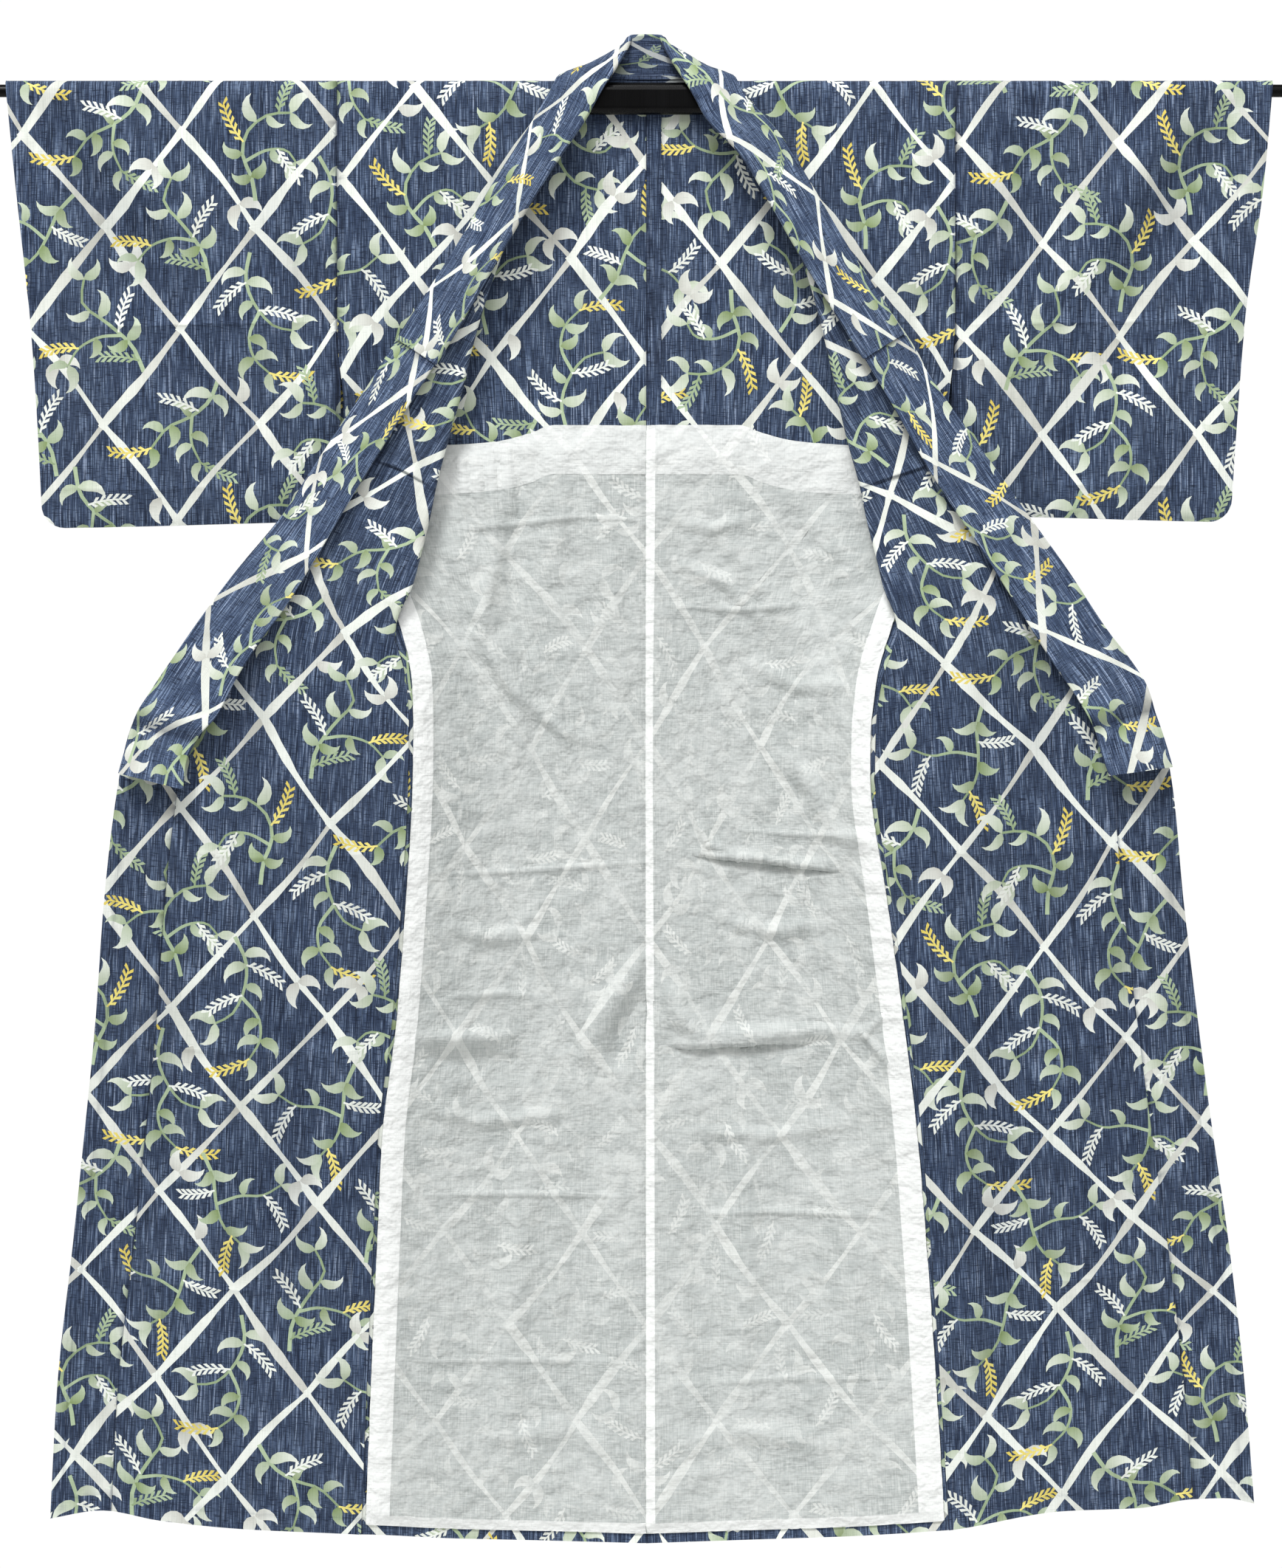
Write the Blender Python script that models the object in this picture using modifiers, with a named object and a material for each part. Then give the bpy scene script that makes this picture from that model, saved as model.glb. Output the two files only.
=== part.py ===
"""Cotton yukata robe, opened out, hanging on its rod.

Frame: metres, +Z up, X across the shoulders, +Y away from the front. The origin is in the middle
of the rod, just under the axis of its tubes. Right and left are the wearer's: the right half is
at -X.

Each cloth piece is cut flat, in cloth coordinates (u across the width, v along the length from the
shoulder fold), and then hung: a rule gives the place of each (u, v). The flat piece gets its
thickness afterwards. Front and back of one half are a single length of cloth that runs over the
shoulder, as in the real robe. Each front hangs down over the rod, rolls back on itself at a fold
line, and so shows its inner side out to the collar seam. The collar lies back over that seam.
"""

import math

import bmesh
import bpy
import numpy as np
from mathutils import Vector, geometry

# ---- sizes, in metres ----
WALL = 0.0012  # one layer of cotton, as built
LINING_WALL = 0.0010
SEAM_GAP = 0.0003
COLLAR_THICK = 0.0032  # the folded band, with its turnings inside
COVER_WALL = 0.0010
COVER_GAP = 0.0008
NECK_REACH, NECK_STEPS = 0.1400, 7  # the stretch round the neck has closer stations
COVER_ACROSS = (0.05, 0.33, 0.67, 0.97)  # where its points lie across the band
LENGTH = 1.5490  # shoulder fold to hem, at the middle of the back
SHOULDER = 0.3290  # middle of the back to the sleeve seam
NECK = 0.0885  # half the neck opening at the shoulder fold
SLEEVE_JOIN = 0.2400  # how far down the sleeve is sewn to the body
CUFF_OPEN = 0.2300  # open part of the sleeve's outer edge
CORNER = 0.0250  # rounding of the sleeve's lower corner
SIDE_SEAM_TOP = 0.3660  # below the shoulder: above it the side is open
OKUMI_WIDTH = 0.0650
OKUMI_TOP = -0.2400
COVER_REACH = 0.4460  # half length of the over-collar
LINING_RISE = 0.0110  # the lining's foot above the hem
BACK_COLUMNS = 7

TUBE_RADIUS = 0.0090
TUBE_AXIS_Z = 0.0015
TIP_RADIUS = 0.0068
GRIP_LENGTH = 0.3600
GRIP_HEIGHT = 0.0345
GRIP_DEPTH = 0.0176
TUBE_END = 0.5000
ROD_HALF = 0.7100

HANG = TUBE_RADIUS + 0.0014  # middle of the cloth, from the tube's axis: its flats clear the tube
ARC = HANG * math.pi / 2  # cloth from the top of the fold to where it hangs straight

SIDES = (("right", -1.0), ("left", 1.0))


class Table:
    """Rows of sizes with a name for each column. A column is read between rows on a smooth curve
    that never overshoots a row."""

    def __init__(self, names, rows):
        data = np.array(sorted(rows), float)
        self.x = data[:, 0]
        self.columns = dict(zip(names.split(), data.T))

    def __call__(self, name, x):
        x0, y = self.x, self.columns[name]
        h = np.diff(x0)
        d = np.diff(y) / h
        m = np.zeros_like(y)
        same = d[:-1] * d[1:] > 0
        w1, w2 = 2 * h[1:] + h[:-1], h[1:] + 2 * h[:-1]
        with np.errstate(divide="ignore", invalid="ignore"):
            mean = (w1 + w2) / (w1 / d[:-1] + w2 / d[1:])
        m[1:-1] = np.where(same, mean, 0.0)
        m[0], m[-1] = d[0], d[-1]
        x = np.clip(np.asarray(x, float), x0[0], x0[-1])
        i = np.clip(np.searchsorted(x0, x) - 1, 0, len(h) - 1)
        t = (x - x0[i]) / h[i]
        return (
            (2 * t**3 - 3 * t**2 + 1) * y[i]
            + (t**3 - 2 * t**2 + t) * h[i] * m[i]
            + (3 * t**2 - 2 * t**3) * y[i + 1]
            + (t**3 - t**2) * h[i] * m[i + 1]
        )


def ease(x):
    x = np.clip(x, 0.0, 1.0)
    return x * x * (3 - 2 * x)


# Outlines of the open fronts, as distances from the middle, by height.
# side: body's side edge. roll: where the front turns back. edge: collar seam, then front edge.
OUTLINE = {
    "right": Table(
        "z side roll edge",
        [
            (0.0130, 0.3290, 0.0885, 0.0885),
            (-0.0280, 0.3290, 0.1040, 0.1160),
            (-0.1010, 0.3290, 0.1270, 0.1575),
            (-0.1810, 0.3290, 0.1560, 0.2087),
            (-0.2190, 0.3290, 0.1690, 0.2360),
            (-0.2750, 0.3280, 0.1850, 0.2710),
            (-0.3110, 0.3240, 0.1930, 0.2940),
            (-0.3660, 0.3190, 0.2085, 0.3310),
            (-0.4250, 0.3170, 0.2236, 0.3680),
            (-0.4530, 0.3120, 0.2290, 0.3870),
            (-0.5160, 0.2940, 0.2440, 0.4390),
            (-0.5680, 0.2720, 0.2570, 0.4770),
            (-0.6370, 0.2530, 0.2530, 0.5240),
            (-0.6770, 0.2510, 0.2510, 0.5470),
            (-0.7270, 0.2515, 0.2515, 0.5590),
            (-0.8630, 0.2590, 0.2590, 0.5760),
            (-0.9880, 0.2690, 0.2690, 0.5850),
            (-1.1140, 0.2840, 0.2840, 0.5970),
            (-1.2390, 0.2900, 0.2900, 0.6090),
            (-1.4060, 0.2970, 0.2970, 0.6260),
            (-1.5600, 0.3030, 0.3030, 0.6340),
        ],
    ),
    "left": Table(
        "z side roll edge",
        [
            (0.0130, 0.3290, 0.0890, 0.0890),
            (-0.0280, 0.3290, 0.1110, 0.1250),
            (-0.1010, 0.3290, 0.1380, 0.1724),
            (-0.1810, 0.3290, 0.1660, 0.2210),
            (-0.2190, 0.3290, 0.1780, 0.2480),
            (-0.2750, 0.3280, 0.1920, 0.2860),
            (-0.3110, 0.3240, 0.2000, 0.3060),
            (-0.3660, 0.3190, 0.2120, 0.3430),
            (-0.4250, 0.3170, 0.2276, 0.3840),
            (-0.4530, 0.3120, 0.2330, 0.4044),
            (-0.5160, 0.2940, 0.2480, 0.4500),
            (-0.5680, 0.2720, 0.2580, 0.4830),
            (-0.6370, 0.2480, 0.2480, 0.5330),
            (-0.6770, 0.2430, 0.2430, 0.5430),
            (-0.7270, 0.2420, 0.2420, 0.5570),
            (-0.8630, 0.2600, 0.2600, 0.5710),
            (-0.9880, 0.2770, 0.2770, 0.5860),
            (-1.1140, 0.2920, 0.2920, 0.6020),
            (-1.2390, 0.3020, 0.3020, 0.6180),
            (-1.4060, 0.3130, 0.3130, 0.6350),
            (-1.5600, 0.3220, 0.3220, 0.6470),
        ],
    ),
}

# Depths of the same lines, both halves alike. back: the back's own side edge. turn: radius of the
# roll. open: 1 where the front is rolled back, 0 where it runs straight out from the side seam.
DEPTH = Table(
    "z side roll edge back turn",
    [
        (0.0130, -HANG, -HANG, -HANG, HANG, 0.0015),
        (-0.0120, -HANG, -HANG, -0.0120, HANG, 0.0018),
        (-0.0500, -HANG, -HANG, -0.0165, HANG, 0.0030),
        (-0.1000, -HANG, -0.0105, -0.0210, HANG, 0.0050),
        (-0.2200, -HANG, -0.0120, -0.0230, HANG, 0.0050),
        (-0.3100, -0.0070, -0.0145, -0.0245, 0.0060, 0.0050),
        (-0.3660, -0.0040, -0.0175, -0.0255, -0.0014, 0.0050),
        (-0.4300, -0.0120, -0.0220, -0.0260, -0.0094, 0.0050),
        (-0.5160, -0.0320, -0.0350, -0.0260, -0.0294, 0.0048),
        (-0.5700, -0.0430, -0.0445, -0.0260, -0.0404, 0.0040),
        (-0.6400, -0.0500, -0.0510, -0.0250, -0.0474, 0.0020),
        (-0.7500, -0.0520, -0.0530, -0.0220, -0.0494, 0.0020),
        (-1.0000, -0.0460, -0.0470, -0.0200, -0.0434, 0.0020),
        (-1.2500, -0.0380, -0.0390, -0.0190, -0.0354, 0.0020),
        (-1.5600, -0.0300, -0.0310, -0.0180, -0.0274, 0.0020),
    ],
)

# How far the hem lies above the lowest point of the back, across each half.
HEM = {
    "right": Table(
        "x lift",
        [(0.0, 0.0), (0.20, 0.0065), (0.30, 0.0144), (0.43, 0.0200), (0.517, 0.0285), (0.578, 0.0390), (0.635, 0.0300)],
    ),
    "left": Table(
        "x lift",
        [(0.0, 0.0), (0.20, 0.0080), (0.32, 0.0190), (0.444, 0.0390), (0.525, 0.0420), (0.58, 0.0510), (0.6165, 0.0520), (0.647, 0.0460)],
    ),
}

# The sleeve's outer edge and its bottom edge.
SLEEVE_OUT = {
    "right": Table("z x", [(0.013, 0.6827), (-0.098, 0.6717), (-0.232, 0.6575), (-0.335, 0.6500), (-0.470, 0.6430)]),
    "left": Table("z x", [(0.013, 0.6677), (-0.098, 0.6575), (-0.232, 0.6394), (-0.335, 0.6310), (-0.470, 0.6220)]),
}
SLEEVE_DROP = {
    "right": Table("x z", [(0.329, -0.4570), (0.395, -0.4590), (0.625, -0.4646), (0.690, -0.4650)]),
    "left": Table("x z", [(0.329, -0.4515), (0.402, -0.4528), (0.604, -0.4580), (0.690, -0.4590)]),
}
SLEEVE_HALF_GAP = Table("z y", [(0.013, HANG), (-0.05, HANG), (-0.25, 0.0075), (-0.40, 0.0065), (-0.47, 0.0060)])

# The collar from the middle of the back round the neck. s: collar seam, c: the band's middle,
# m: the band's free edge, each with how far out, how deep and how high.
NECK_ROWS = Table(
    "k sx sy sz cx cy cz mx my mz",
    [
        (0, 0.0000, 0.0130, 0.0125, 0.0000, 0.0195, 0.0370, 0.0000, 0.0240, 0.0620),
        (1, 0.0300, 0.0130, 0.0128, 0.0235, 0.0185, 0.0375, 0.0165, 0.0210, 0.0610),
        (2, 0.0580, 0.0115, 0.0142, 0.0405, 0.0125, 0.0385, 0.0215, 0.0100, 0.0500),
        (3, 0.0790, 0.0040, 0.0160, 0.0575, 0.0020, 0.0290, 0.0320, -0.0050, 0.0300),
        (4, 0.0925, -0.0095, 0.0140, 0.0715, -0.0130, 0.0175, 0.0480, -0.0175, 0.0040),
        (5, 0.1040, -0.0168, -0.0030, 0.0835, -0.0208, -0.0100, 0.0640, -0.0225, -0.0260),
    ],
)

# The collar from there to its end, as seen from the front: seam and free edge, out and up.
COLLAR_LINE = {
    "right": [
        (0.1300, -0.0480, 0.0913, -0.0677),
        (0.1640, -0.1020, 0.1250, -0.1210),
        (0.2030, -0.1690, 0.1620, -0.1850),
        (0.2570, -0.2530, 0.2170, -0.2790),
        (0.2920, -0.3100, 0.2530, -0.3360),
        (0.3500, -0.3970, 0.3080, -0.4250),
        (0.3910, -0.4600, 0.3450, -0.4880),
        (0.4340, -0.5110, 0.3810, -0.5470),
        (0.4740, -0.5640, 0.4165, -0.5960),
        (0.5010, -0.6030, 0.4390, -0.6330),
        (0.5240, -0.6370, 0.4560, -0.6660),
        (0.5440, -0.6720, 0.4760, -0.6890),
        (0.5520, -0.7000, 0.4880, -0.7160),
        (0.5590, -0.7270, 0.4906, -0.7440),
    ],
    "left": [
        (0.1420, -0.0470, 0.1030, -0.0700),
        (0.1730, -0.0970, 0.1330, -0.1197),
        (0.2110, -0.1620, 0.1710, -0.1856),
        (0.2670, -0.2480, 0.2255, -0.2744),
        (0.3030, -0.3080, 0.2614, -0.3340),
        (0.3520, -0.3770, 0.3020, -0.4063),
        (0.4090, -0.4580, 0.3570, -0.4906),
        (0.4450, -0.5080, 0.3900, -0.5430),
        (0.4900, -0.5760, 0.4323, -0.6100),
        (0.5170, -0.6110, 0.4575, -0.6465),
        (0.5300, -0.6320, 0.4680, -0.6650),
        (0.5390, -0.6590, 0.4764, -0.6810),
        (0.5490, -0.6900, 0.4830, -0.7060),
        (0.5575, -0.7205, 0.4906, -0.7295),
    ],
}

# The white lining over the seat and legs of the back: its top edge, and how far its side stays in
# from the side seam.
LINING_TOP = Table("x z", [(0.0, -0.3550), (0.10, -0.3552), (0.125, -0.3640), (0.16, -0.3725), (0.21, -0.3765), (0.33, -0.3800)])
LINING_INSET = Table("z in", [(-0.34, 0.0120), (-0.56, 0.0100), (-0.66, 0.0040), (-1.56, 0.0040)])

ROWS = [0.0, ARC / 3, ARC * 2 / 3, ARC, 0.030, 0.060, 0.105, 0.160, 0.215, 0.270, 0.325, 0.3775, 0.430, 0.480, 0.520, 0.548, 0.575, 0.605, 0.640, 0.690, 0.760, 0.860, 0.960, 1.070, 1.190, 1.310, 1.430]


def hang(v):
    """Depth and height of cloth that lies v past the top of the shoulder fold, down either side."""
    a = min(abs(v), ARC) / HANG
    y = HANG * math.sin(a)
    z = TUBE_AXIS_Z + HANG * math.cos(a) - max(0.0, abs(v) - ARC)
    return y, z


def level(v):
    return hang(v)[1]


LENGTH_V = LENGTH + TUBE_AXIS_Z + ARC  # cloth from the fold to the lowest hem


def lifted(side, x, z):
    """The hem rises towards the front edges: the lower cloth goes up with it."""
    return z + float(HEM[side]("lift", abs(x))) * float(ease((-z - 1.0) / (LENGTH - 1.0)))


def plan_front(side, v):
    """The front's course at one height, from the side edge over the roll to the collar seam or
    front edge, as points (out, depth), with the places of the roll's points in it."""
    y0, z = hang(v)
    out, d = OUTLINE[side], DEPTH
    a = np.array([out("side", z), d("side", z)], float)
    e = np.array([out("edge", z), d("edge", z)], float)
    rx, ry, r = float(out("roll", z)), float(d("roll", z)), float(d("turn", z))
    if v < ARC:
        a[1] = e[1] = -y0
        ry = -y0
    turned = float(ease((v - ARC) / 0.040)) * float(1 - ease((-z - 0.53) / 0.09))
    fold = [(rx + r, ry), (rx, ry - r), (rx + r, ry - 2 * r)]
    if v < ARC + 0.3:  # near the shoulder the roll starts at the collar seam
        flat = [e + (a - e) * k for k in (0.020, 0.013, 0.007)]
    else:  # lower down it ends at the side seam
        flat = [a + (e - a) * k for k in (0.010, 0.020, 0.030)]
    roll = [np.array(f) * turned + np.array(g) * (1 - turned) for f, g in zip(fold, flat)]
    points = [a] + roll + [e]
    lengths = [float(np.linalg.norm(q - p)) for p, q in zip(points, points[1:])]
    return points, np.concatenate([[0.0], np.cumsum(lengths)])


def at_front(side, u, v):
    points, reach = plan_front(side, v)
    x = float(np.interp(u, reach, [p[0] for p in points]))
    y = float(np.interp(u, reach, [p[1] for p in points]))
    return x, y, level(v)


def back_depth(side, x, z, v):
    """Flat behind the middle, with its sides brought forward by the open fronts."""
    edge = float(OUTLINE[side]("side", z))
    y_edge = float(DEPTH("back", z))
    if abs(v) < ARC:
        return hang(v)[0]
    q = max(0.0, (abs(x) - 0.09) / (edge - 0.09))
    return HANG + (y_edge - HANG) * q * q


def at_back(side, u, v):
    """u runs from the side edge towards the middle seam."""
    y0, z = hang(v)
    edge = float(OUTLINE[side]("side", z))
    x = edge * (1 - u / SHOULDER)
    y = back_depth(side, x, z, v)
    if abs(v) < ARC:  # behind the neck the cloth stands straight up to the collar seam
        k = float(ease((u - (SHOULDER - NECK)) / 0.025))
        y += (HANG - y) * k
        z += (TUBE_AXIS_Z + ARC - abs(v) - z) * k
    return x, y, z


def cut(outline, lines, inner):
    """A flat piece cut to an outline, with fold lines and inner points, as points and triangles."""
    verts, edges = [Vector(p) for p in outline], []
    n = len(verts)
    ring = list(range(n))
    for line in lines:
        start = len(verts)
        verts += [Vector(p) for p in line]
        edges += [(i, i + 1) for i in range(start, len(verts) - 1)]
    verts += [Vector(p) for p in inner]
    got = geometry.delaunay_2d_cdt(verts, edges, [ring], 1, 1e-6)
    points = [(p.x, p.y) for p in got[0]]
    used = sorted({i for f in got[2] for i in f})
    number = {old: new for new, old in enumerate(used)}
    return [points[i] for i in used], [tuple(number[i] for i in f) for f in got[2]]


def material(name, colour, roughness, metallic=0.0):
    made = bpy.data.materials.new(name)
    made.use_nodes = True
    shader = made.node_tree.nodes["Principled BSDF"]
    shader.inputs["Base Color"].default_value = (*colour, 1.0)
    shader.inputs["Roughness"].default_value = roughness
    shader.inputs["Metallic"].default_value = metallic
    return made


def add(name, points, faces, finish, collection, wall=None, flip=False):
    mesh = bpy.data.meshes.new(name)
    mesh.from_pydata([tuple(map(float, p)) for p in points], [], [tuple(reversed(f)) if flip else f for f in faces])
    mesh.update()
    obj = bpy.data.objects.new(name, mesh)
    collection.objects.link(obj)
    mesh.materials.append(finish)
    if wall:
        thick = obj.modifiers.new("cloth", "SOLIDIFY")
        thick.thickness = wall
        thick.offset = 0.0
        thick.use_even_offset = True
        thick.use_quality_normals = True
        thick.thickness_clamp = 0.6
    return obj


def spread(a, b, count):
    return [a + (b - a) * i / count for i in range(count + 1)]


def lining_outline(side):
    """The lining's edges in the back's cloth coordinates: top, side and foot, v below 0."""
    middle = SHOULDER - 0.0006

    def u_side(v):
        z = level(v)
        return float(LINING_INSET("in", z)) * SHOULDER / float(OUTLINE[side]("side", z))

    def v_top(u):
        v = -0.39
        for _ in range(3):
            x = float(OUTLINE[side]("side", level(v))) * (1 - u / SHOULDER)
            v = float(LINING_TOP("z", x)) - TUBE_AXIS_Z - ARC
        return v

    start = u_side(-0.39)
    us = [start] + [u for u in spread(0.0, middle, BACK_COLUMNS)[1:-1]] + [middle]
    top = [(u, v_top(u)) for u in us]
    foot_v = -(LENGTH_V - LINING_RISE)
    sides = [(u_side(-v), -v) for v in ROWS if v > -top[0][1] + 0.02 and v < -foot_v - 0.02]
    foot = [(u_side(foot_v), foot_v)] + [(u, foot_v) for u in us[1:]]
    return top, sides, foot


def cut_body(side):
    """Back and front of one half in one length: v below 0 is the back, above 0 the front."""
    end_v = LENGTH_V
    middle = SHOULDER - 0.0006  # the two halves meet at the middle seam
    neck_v = -ARC + 0.0090  # neck cut at the back
    back_rows = [-v for v in ROWS if v > -neck_v + 0.002] + [-end_v]
    front_rows = ROWS[1:] + [end_v]

    def front_width(v):
        """Cloth between the side edge and the okumi or collar seam."""
        _, reach = plan_front(side, v)
        z = level(v)
        okumi = OKUMI_WIDTH * float(ease((OKUMI_TOP - z) / 0.45)) if z < OKUMI_TOP else 0.0
        return reach[-1] - (okumi + SEAM_GAP * 2 if okumi else 0.0)

    top, sides, foot = lining_outline(side)
    at_middle = sorted(back_rows[:-1] + [top[-1][1], foot[-1][1]], reverse=True)
    outline = [(0.0, v) for v in [-end_v] + sorted(back_rows[:-1]) + sorted(-v for v in ROWS if 0 < v <= -neck_v + 0.002) + [0.0] + front_rows]
    outline += [(front_width(end_v) * f, end_v) for f in (0.25, 0.5, 0.75)]
    outline += [(front_width(v), v) for v in reversed(front_rows)]
    neck = SHOULDER - NECK
    outline += [(neck, 0.0), (neck, -ARC / 3), (neck + 0.004, neck_v), (neck + 0.030, neck_v)]
    outline += [(middle, neck_v)] + [(middle, v) for v in at_middle]
    outline += [(middle * f, -end_v) for f in (1.0, 0.75, 0.5, 0.25)]

    lines = [top, [top[0]] + sides + [foot[0]], foot]
    for v in ROWS[:4]:  # rows round the shoulder fold keep their places
        lines.append([(u, v) for u in spread(0.0, neck if v < ARC else front_width(v), 6)])
        if v:
            lines.append([(u, -v) for u in spread(0.0, neck if v < ARC * 0.5 else middle, 6)])
    for k in (1, 2, 3):
        line = []
        for v in front_rows:
            points, reach = plan_front(side, v)
            z = level(v)
            if v > ARC + 0.010 and z > -0.63 and 0.004 < reach[k] < front_width(v) - 0.004:
                line.append((reach[k], v))
        lines.append(line)
    inner = []
    for v in front_rows[3:-1]:
        _, reach = plan_front(side, v)
        width = front_width(v)
        for f in (0.17, 0.34, 0.5, 0.67, 0.84):
            u = width * f
            if min(abs(u - r) for r in reach[1:4]) > 0.012 or level(v) < -0.64:
                inner.append((u, v))
    for v in sorted(-r for r in ROWS[4:]):
        limit = middle if v < neck_v else neck
        for i, u in enumerate(spread(0.0, middle, BACK_COLUMNS)[1:-1]):
            near_line = min(abs(v - top[i + 1][1]), abs(v - foot[0][1])) < 0.012
            if u < limit - 0.010 and not near_line:
                inner.append((u, v))
    return cut(outline, lines, inner)


def hung(side, sign, points):
    placed = []
    for u, v in points:
        x, y, z = at_back(side, u, v) if v < 0 else at_front(side, u, v)
        placed.append((sign * x, y, lifted(side, x, z)))
    return placed


def body_half(name, side, sign, flat, finish, collection):
    points, faces = flat
    return add(name, hung(side, sign, points), faces, finish, collection, WALL, flip=sign > 0)


def okumi(name, side, sign, finish, collection):
    """The narrow overlap panel, between the front and its edge, up to its point under the collar."""
    rows = [v for v in ROWS if level(v) < OKUMI_TOP - 0.055] + [LENGTH_V]
    left, right = [], []
    for v in rows:
        _, reach = plan_front(side, v)
        width = OKUMI_WIDTH * float(ease((OKUMI_TOP - level(v)) / 0.45))
        left.append((reach[-1] - width, v))
        right.append((reach[-1], v))
    inner = [((a[0] + b[0]) / 2, a[1]) for a, b in zip(left[3:-1], right[3:-1])]
    points, faces = cut(left + list(reversed(right)), [], inner)
    placed = []
    for u, v in points:
        x, y, z = at_front(side, u, v)
        placed.append((sign * x, y, lifted(side, x, z)))
    return add(name, placed, faces, finish, collection, WALL, flip=sign > 0)


def sleeve(name, side, sign, finish, collection):
    """A sleeve folded over the shoulder: open at the cuff and at the body, sewn below."""
    inner_x = SHOULDER + SEAM_GAP

    def bottom_v(x):
        return TUBE_AXIS_Z + ARC - float(SLEEVE_DROP[side]("z", x))

    def edge_x(v):
        return float(SLEEVE_OUT[side]("x", level(v)))

    rows = [v for v in ROWS if v < 0.43]
    low = bottom_v(edge_x(0.43)) - CORNER
    edge = [v for v in rows if v < low - 0.01]
    half = [(edge_x(v), v) for v in edge[1:]]
    corner_x, corner_v = edge_x(low) - CORNER, low
    half += [(corner_x + CORNER * math.cos(a), corner_v + CORNER * math.sin(a)) for a in (0.0, 0.4, 0.8, 1.2, math.pi / 2)]
    half += [(x, bottom_v(x)) for x in spread(corner_x, inner_x, 5)[1:]]
    half += [(inner_x, v) for v in reversed(rows[1:])]
    top = [(edge_x(0.0), 0.0)]
    foot = [(inner_x, 0.0)]
    outline = top + half + foot + [(x, -v) for x, v in reversed(half)]
    lines = [[(x, s * v) for x in spread(inner_x, edge_x(v), 6)] for v in edge[:4] for s in (-1, 1) if v or s > 0]
    inner = [(x, s * v) for v in edge[4:] for s in (-1, 1) for x in spread(inner_x, edge_x(v), 6)[1:-1]]
    points, faces = cut(outline, lines, inner)
    placed = []
    for x, v in points:
        y, z = hang(v)
        gap = float(SLEEVE_HALF_GAP("y", z))
        if abs(v) < ARC:
            gap = y
        else:
            near = bottom_v(x) - abs(v)
            if -z > CUFF_OPEN - 0.03:
                sewn = float(ease((-z - CUFF_OPEN + 0.03) / 0.03))
                near = min(near, (edge_x(abs(v)) - x) + (1 - sewn) * 0.05)
            t = min(1.0, max(0.0, near / 0.045))
            gap = max(0.0009, gap * math.sqrt(1 - (1 - t) ** 2))
        placed.append((sign * x, math.copysign(gap, v) if v else 0.0, z))
    placed = [(x, -y, z) for x, y, z in placed]
    return add(name, placed, faces, finish, collection, WALL, flip=sign > 0)


def collar_rows(side, sign):
    """The collar's stations of one half: seam, middle and free edge, from the back of the neck."""
    rows = []
    for k in np.arange(0.0, 5.01, 0.5):
        row = [float(NECK_ROWS(n, k)) for n in "sx sy sz cx cy cz mx my mz".split()]
        rows.append([np.array((sign * row[i], row[i + 1], row[i + 2])) for i in (0, 3, 6)])
    line = COLLAR_LINE[side]
    last = len(line) - 1
    for i, (sx, sz, mx, mz) in enumerate(line):
        sy = float(DEPTH("edge", sz)) - WALL / 2 - COVER_GAP - COVER_WALL - COLLAR_THICK / 2 - 0.0012
        roll_x, roll_y = float(OUTLINE[side]("roll", mz)), float(DEPTH("roll", mz)) - 2 * float(DEPTH("turn", mz))
        edge_x, edge_y = float(OUTLINE[side]("edge", mz)), float(DEPTH("edge", mz))
        share = min(1.0, max(0.0, (mx - roll_x) / (edge_x - roll_x)))
        my = roll_y + (edge_y - roll_y) * share - 0.0080
        s, m = np.array((sign * sx, sy, sz)), np.array((sign * mx, min(my, sy - 0.002), mz))
        rows.append([s, (s + m) / 2 + np.array((0, -0.0022, 0)), m])
    return rows


def loft_stations(step):
    """Stations along the whole collar, at even steps: distance from the middle, seam, middle, edge."""
    halves = {}
    for side, sign in SIDES:
        rows = collar_rows(side, sign)
        reach = np.concatenate([[0.0], np.cumsum([np.linalg.norm(b[1] - a[1]) for a, b in zip(rows, rows[1:])])])
        data = [(r, *np.concatenate(row)) for r, row in zip(reach, rows)]
        names = "r " + " ".join(f"{p}{c}" for p in "scm" for c in "xyz")
        halves[side] = (Table(names, data), reach[-1])
    stations = []
    for side, sign in SIDES:
        table, whole = halves[side]
        count = max(2, round((whole - NECK_REACH) / step))
        near = [NECK_REACH * i / NECK_STEPS for i in range(NECK_STEPS)]
        half = []
        for r in near + [NECK_REACH + (whole - NECK_REACH) * i / count for i in range(count + 1)]:
            half.append((sign * r, *[np.array([float(table(p + c, r)) for c in "xyz"]) for p in "scm"]))
        stations += list(reversed(half)) if sign < 0 else half[1:]
    return stations


def band_section(stations, i, across, lift):
    """Points across the band at a station, raised lift from its middle surface."""
    _, s, c, m = stations[i]
    before, after = stations[max(0, i - 1)], stations[min(len(stations) - 1, i + 1)]
    points = []
    for w in across:
        wc = min(1.0, max(0.0, w))
        b0, b1, b2 = 2 * (wc - 0.5) * (wc - 1), 4 * wc * (1 - wc), 2 * wc * (wc - 0.5)
        here = b0 * s + b1 * c + b2 * m
        along = (b0 * after[1] + b1 * after[2] + b2 * after[3]) - (b0 * before[1] + b1 * before[2] + b2 * before[3])
        slope = (4 * wc - 3) * s + (4 - 8 * wc) * c + (4 * wc - 1) * m
        normal = np.cross(along, slope)
        normal /= np.linalg.norm(normal)
        out = slope / np.linalg.norm(slope) * (w - wc) * np.linalg.norm(m - s)
        points.append(here + out + normal * lift)
    return points


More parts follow.
